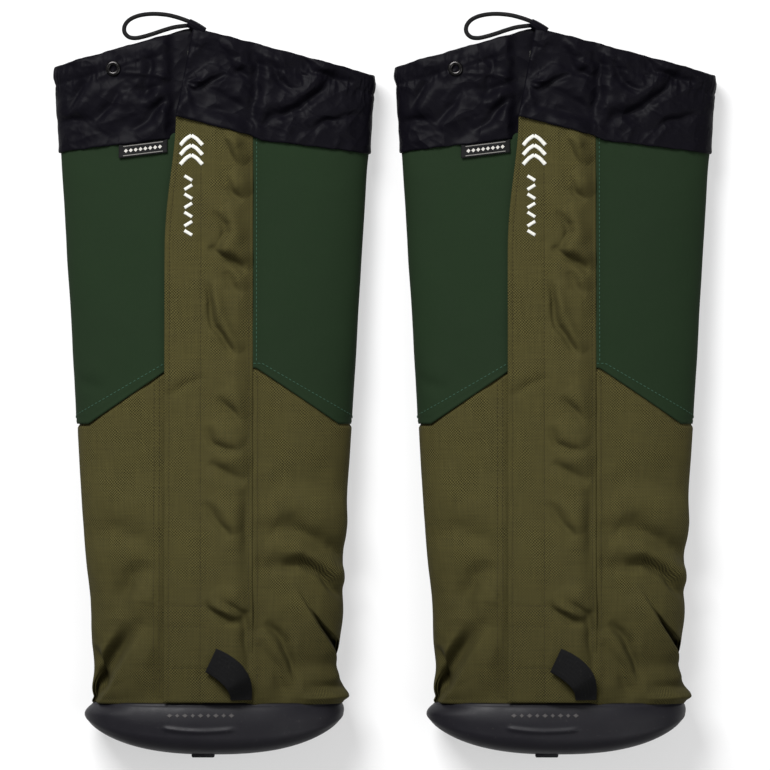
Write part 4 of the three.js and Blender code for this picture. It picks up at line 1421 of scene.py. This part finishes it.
def along_curve(name, sizes, make_piece):
    """A group that lays a small piece along a curve at a pitch. Its sizes are in metres."""
    inputs = [("Geometry", "Geometry", None)]
    inputs += [(label, "Float", value) for label, value in sizes]
    inputs.append(("Material", "Material", None))
    tree, graph, entry, leave = node_group(
        name, inputs, [("Geometry", "Geometry")], "GeometryNodeTree")
    curve = {"Curve": entry["Geometry"], "Length": entry["Pitch"]}
    points = graph.add("GeometryNodeCurveToPoints", curve, mode="LENGTH").outputs
    piece = {"Points": points["Points"], "Rotation": points["Rotation"]}
    piece.update(make_piece(graph, entry))
    placed = graph.add("GeometryNodeInstanceOnPoints", piece)
    real = graph.add("GeometryNodeRealizeInstances", {"Geometry": placed.outputs["Instances"]})
    look = {"Geometry": real.outputs[0], "Material": entry["Material"]}
    graph.link(graph.add("GeometryNodeSetMaterial", look).outputs[0], leave["Geometry"])
    return tree


def size_of(graph, *parts):
    return graph.add("ShaderNodeCombineXYZ", dict(enumerate(parts))).outputs[0]


def stitch(graph, entry):
    """A bead, drawn out along the seam."""
    bead = graph.add("GeometryNodeMeshUVSphere", {"Segments": 6, "Rings": 5, "Radius": 0.5})
    thick = entry["Thickness"]
    return {"Instance": bead.outputs["Mesh"],
            "Scale": size_of(graph, thick, thick, entry["Stitch Length"])}


def tooth(graph, entry):
    """A moulded tooth: a block with a rounded head."""
    size = size_of(graph, entry["Width"], entry["Height"], entry["Length"])
    block = graph.add("GeometryNodeMeshCube", {"Size": size}).outputs["Mesh"]
    rounding = {"Mesh": block, "Level": 1, "Edge Crease": 0.6}
    return {"Instance": graph.add("GeometryNodeSubdivisionSurface", rounding).outputs[0]}


STITCHES = along_curve(
    "stitches", (("Pitch", 0.003), ("Stitch Length", 0.0021), ("Thickness", 0.0005)), stitch)
TOOTH = along_curve(
    "zip_teeth",
    (("Pitch", 0.0026), ("Width", 0.0024), ("Length", 0.0016), ("Height", 0.0026)), tooth)


def baked(name, lines, tree, material):
    """Runs a geometry group on polylines and returns a plain mesh."""
    source = bpy.data.objects.new(name, polylines(name, [to_row(line) for line in lines]))
    scene.collection.objects.link(source)
    modifier = source.modifiers.new("build", "NODES")
    modifier.node_group = tree
    for item in tree.interface.items_tree:
        if item.in_out == "INPUT" and item.name == "Material":
            modifier[item.identifier] = material
    bpy.context.view_layer.update()
    evaluated = source.evaluated_get(bpy.context.evaluated_depsgraph_get())
    mesh = bpy.data.meshes.new_from_object(evaluated)
    bpy.data.objects.remove(source)
    mesh.polygons.foreach_set("use_smooth", [True] * len(mesh.polygons))
    return mesh


PROUD = 0.12  # how far a row of stitches stands out of the cloth


def line_on_flap(xs, ys):
    xs, ys = np.broadcast_arrays(np.asarray(xs, float), np.asarray(ys, float))
    return front(xs, ys, flap_offset(xs, ys) + PROUD)


def line_round(angles, ys, offset):
    angles, ys = np.broadcast_arrays(np.asarray(angles, float), np.asarray(ys, float))
    x = section(ys, angles)[..., 0]
    return surface(ys, angles, offset(x, ys, angles) + PROUD)


def run(low, high, step=1.5):
    return np.linspace(low, high, int(abs(high - low) / step) + 2)


def along_front(xs, edge, offset):
    """A stitched line on the front, at the height that edge gives for each x."""
    ys = edge(xs)
    return line_round(front_angle(ys, xs), ys, offset)


green_lines = [
    along_front(run(-96, FLAP_FREE_X - 2), lambda x: seam_edge(x) + SEAM_STITCH, upper_offset),
    along_front(run(HINGE_X + 1, 96), lambda x: seam_edge(x) + SEAM_STITCH, upper_offset),
    line_round(front_angle(run(22, 172), HINGE_X + 2.2), run(22, 172), upper_offset),
]
mesh = baked("green_stitches", green_lines, STITCHES, GREEN_THREAD)
both_sides(mesh, "green_stitching", GREEN_THREAD, "gaiter")

lower_run = run(-206, 10)
olive_lines = [line_round(front_angle(lower_run, x), lower_run, lower_offset)
               for x in (-36.6, -40.2, HINGE_X + 3)]
mesh = baked("olive_stitches", olive_lines, STITCHES, OLIVE_THREAD)
both_sides(mesh, "olive_stitching", OLIVE_THREAD, "gaiter")

flap_run = run(-205, 172)
flap_lines = [
    line_on_flap(STRIP_SEAM_X, run(-205, 160)),
    line_on_flap(flap_left_x(flap_run) + EDGE_STITCH, flap_run),
    line_on_flap(HINGE_X - 3, flap_run),
] + [line_on_flap(run(FLAP_FREE_X + 3, -5), bar) for bar in FLAP_BARS]
mesh = baked("flap_stitches", flap_lines, STITCHES, OLIVE_THREAD)
both_sides(mesh, "flap_stitching", OLIVE_THREAD, "flap")

# ---------------------------------------------------------------- zip

ZIP_TOP_Y, ZIP_BOTTOM_Y = 168, -203
TEETH_FROM_ZIP, TEETH_OFFSET = 1.9, -0.8
for side, word in HALVES:
    ys = run(ZIP_BOTTOM_Y + 1.5, ZIP_TOP_Y - 1, 3)
    line = front(ZIP_X + side * TEETH_FROM_ZIP, ys, TEETH_OFFSET)
    mesh = baked(f"teeth_{word}", [line], TOOTH, TEETH)
    both_sides(mesh, f"teeth_{word}", TEETH, "gaiter", [f"zip_teeth_{word}"])


def softened(node, name, material, body, width, shift=(0, 0, 0)):
    """A copy of a CAD node with its edges rounded, shifted by so many millimetres."""
    for side in SIDES:
        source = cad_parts[f"{side}_{node}"]
        bm = bmesh.new()
        bm.from_mesh(source.data)
        bmesh.ops.remove_doubles(bm, verts=bm.verts, dist=0.01 * MM)
        bmesh.ops.dissolve_limit(bm, angle_limit=0.02, verts=bm.verts, edges=bm.edges)
        edges = [e for e in bm.edges if e.is_manifold and e.calc_face_angle(0) > 0.4]
        bmesh.ops.bevel(bm, geom=edges, offset=width * MM, segments=3, profile=0.5,
                        affect="EDGES", clamp_overlap=True)
        mesh = bpy.data.meshes.new(f"{side}_{name}")
        bm.to_mesh(mesh)
        bm.free()
        mesh.transform(Matrix.Translation(Vector(shift) * MM))
        mesh.polygons.foreach_set("use_smooth", [True] * len(mesh.polygons))
        mesh.materials.append(material)
        piece = bpy.data.objects.new(f"{side}_{name}", mesh)
        scene.collection.objects.link(piece)
        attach(piece, f"{side}_{body}")
        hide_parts(f"{side}_{node}")


softened("zip_slider", "slider_casting", ZINC, "zip_slider", 0.3)
softened("zip_puller", "puller_plate", ZINC, "zip_slider", 0.25)
softened("zip_stop", "stop_casting", ZINC, "gaiter", 0.4)
softened("toe_lug", "toe_lug_moulding", RUBBER, "gaiter", 1.0, (0, 1.4, 0))

for side in SIDES:
    for node, material in (("hook_strip", HOOKS), ("loop_strip", HOOKS), ("cuff_hook_patch", HOOKS),
                           ("cuff_loop_patch", HOOKS), ("zip_tape_left", TAPE), ("zip_tape_right", TAPE)):
        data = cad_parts[f"{side}_{node}"].data
        data.materials.clear()
        data.materials.append(material)

# ---------------------------------------------------------------- floor and light

def stage_floor():
    material, graph, shader = new_material("floor")
    place = graph.object_place()
    tone = graph.ramp(graph.noise(place, 3.0, 2.0), 0, 1, 0.985, 1.0)
    graph.link(graph.toned(FLOOR_COLOR, tone), shader.inputs["Base Color"])
    shader.inputs["Roughness"].default_value = 0.9
    shader.inputs["Specular IOR Level"].default_value = 0.1
    shader.inputs["Emission Color"].default_value = WHITE
    shader.inputs["Emission Strength"].default_value = 0.45  # a softly lit table
    half, below = 4.0, -0.4 * MM
    corners = [(-half, -half), (half, -half), (half, half), (-half, half)]
    mesh = mesh_from("floor", [(*corner, below) for corner in corners], [(0, 1, 2, 3)])
    floor = bpy.data.objects.new("floor", mesh)
    scene.collection.objects.link(floor)
    mesh.materials.append(material)


def area_light(name, place, size, power):
    light = bpy.data.lights.new(name, "AREA")
    light.shape = "SQUARE"
    light.size = size
    light.energy = power
    lamp = bpy.data.objects.new(name, light)
    lamp.location = place
    lamp.rotation_mode = "QUATERNION"
    lamp.rotation_quaternion = (-Vector(place)).to_track_quat("-Z", "Y")
    scene.collection.objects.link(lamp)


stage_floor()
area_light("key", (-0.85, 1.65, 1.9), 1.2, 118)
area_light("fill", (1.3, -0.5, 2.0), 1.8, 22)
world = bpy.data.worlds.new("studio")
world.use_nodes = True
background = world.node_tree.nodes["Background"]
background.inputs["Color"].default_value = WHITE
background.inputs["Strength"].default_value = 0.34
scene.world = world
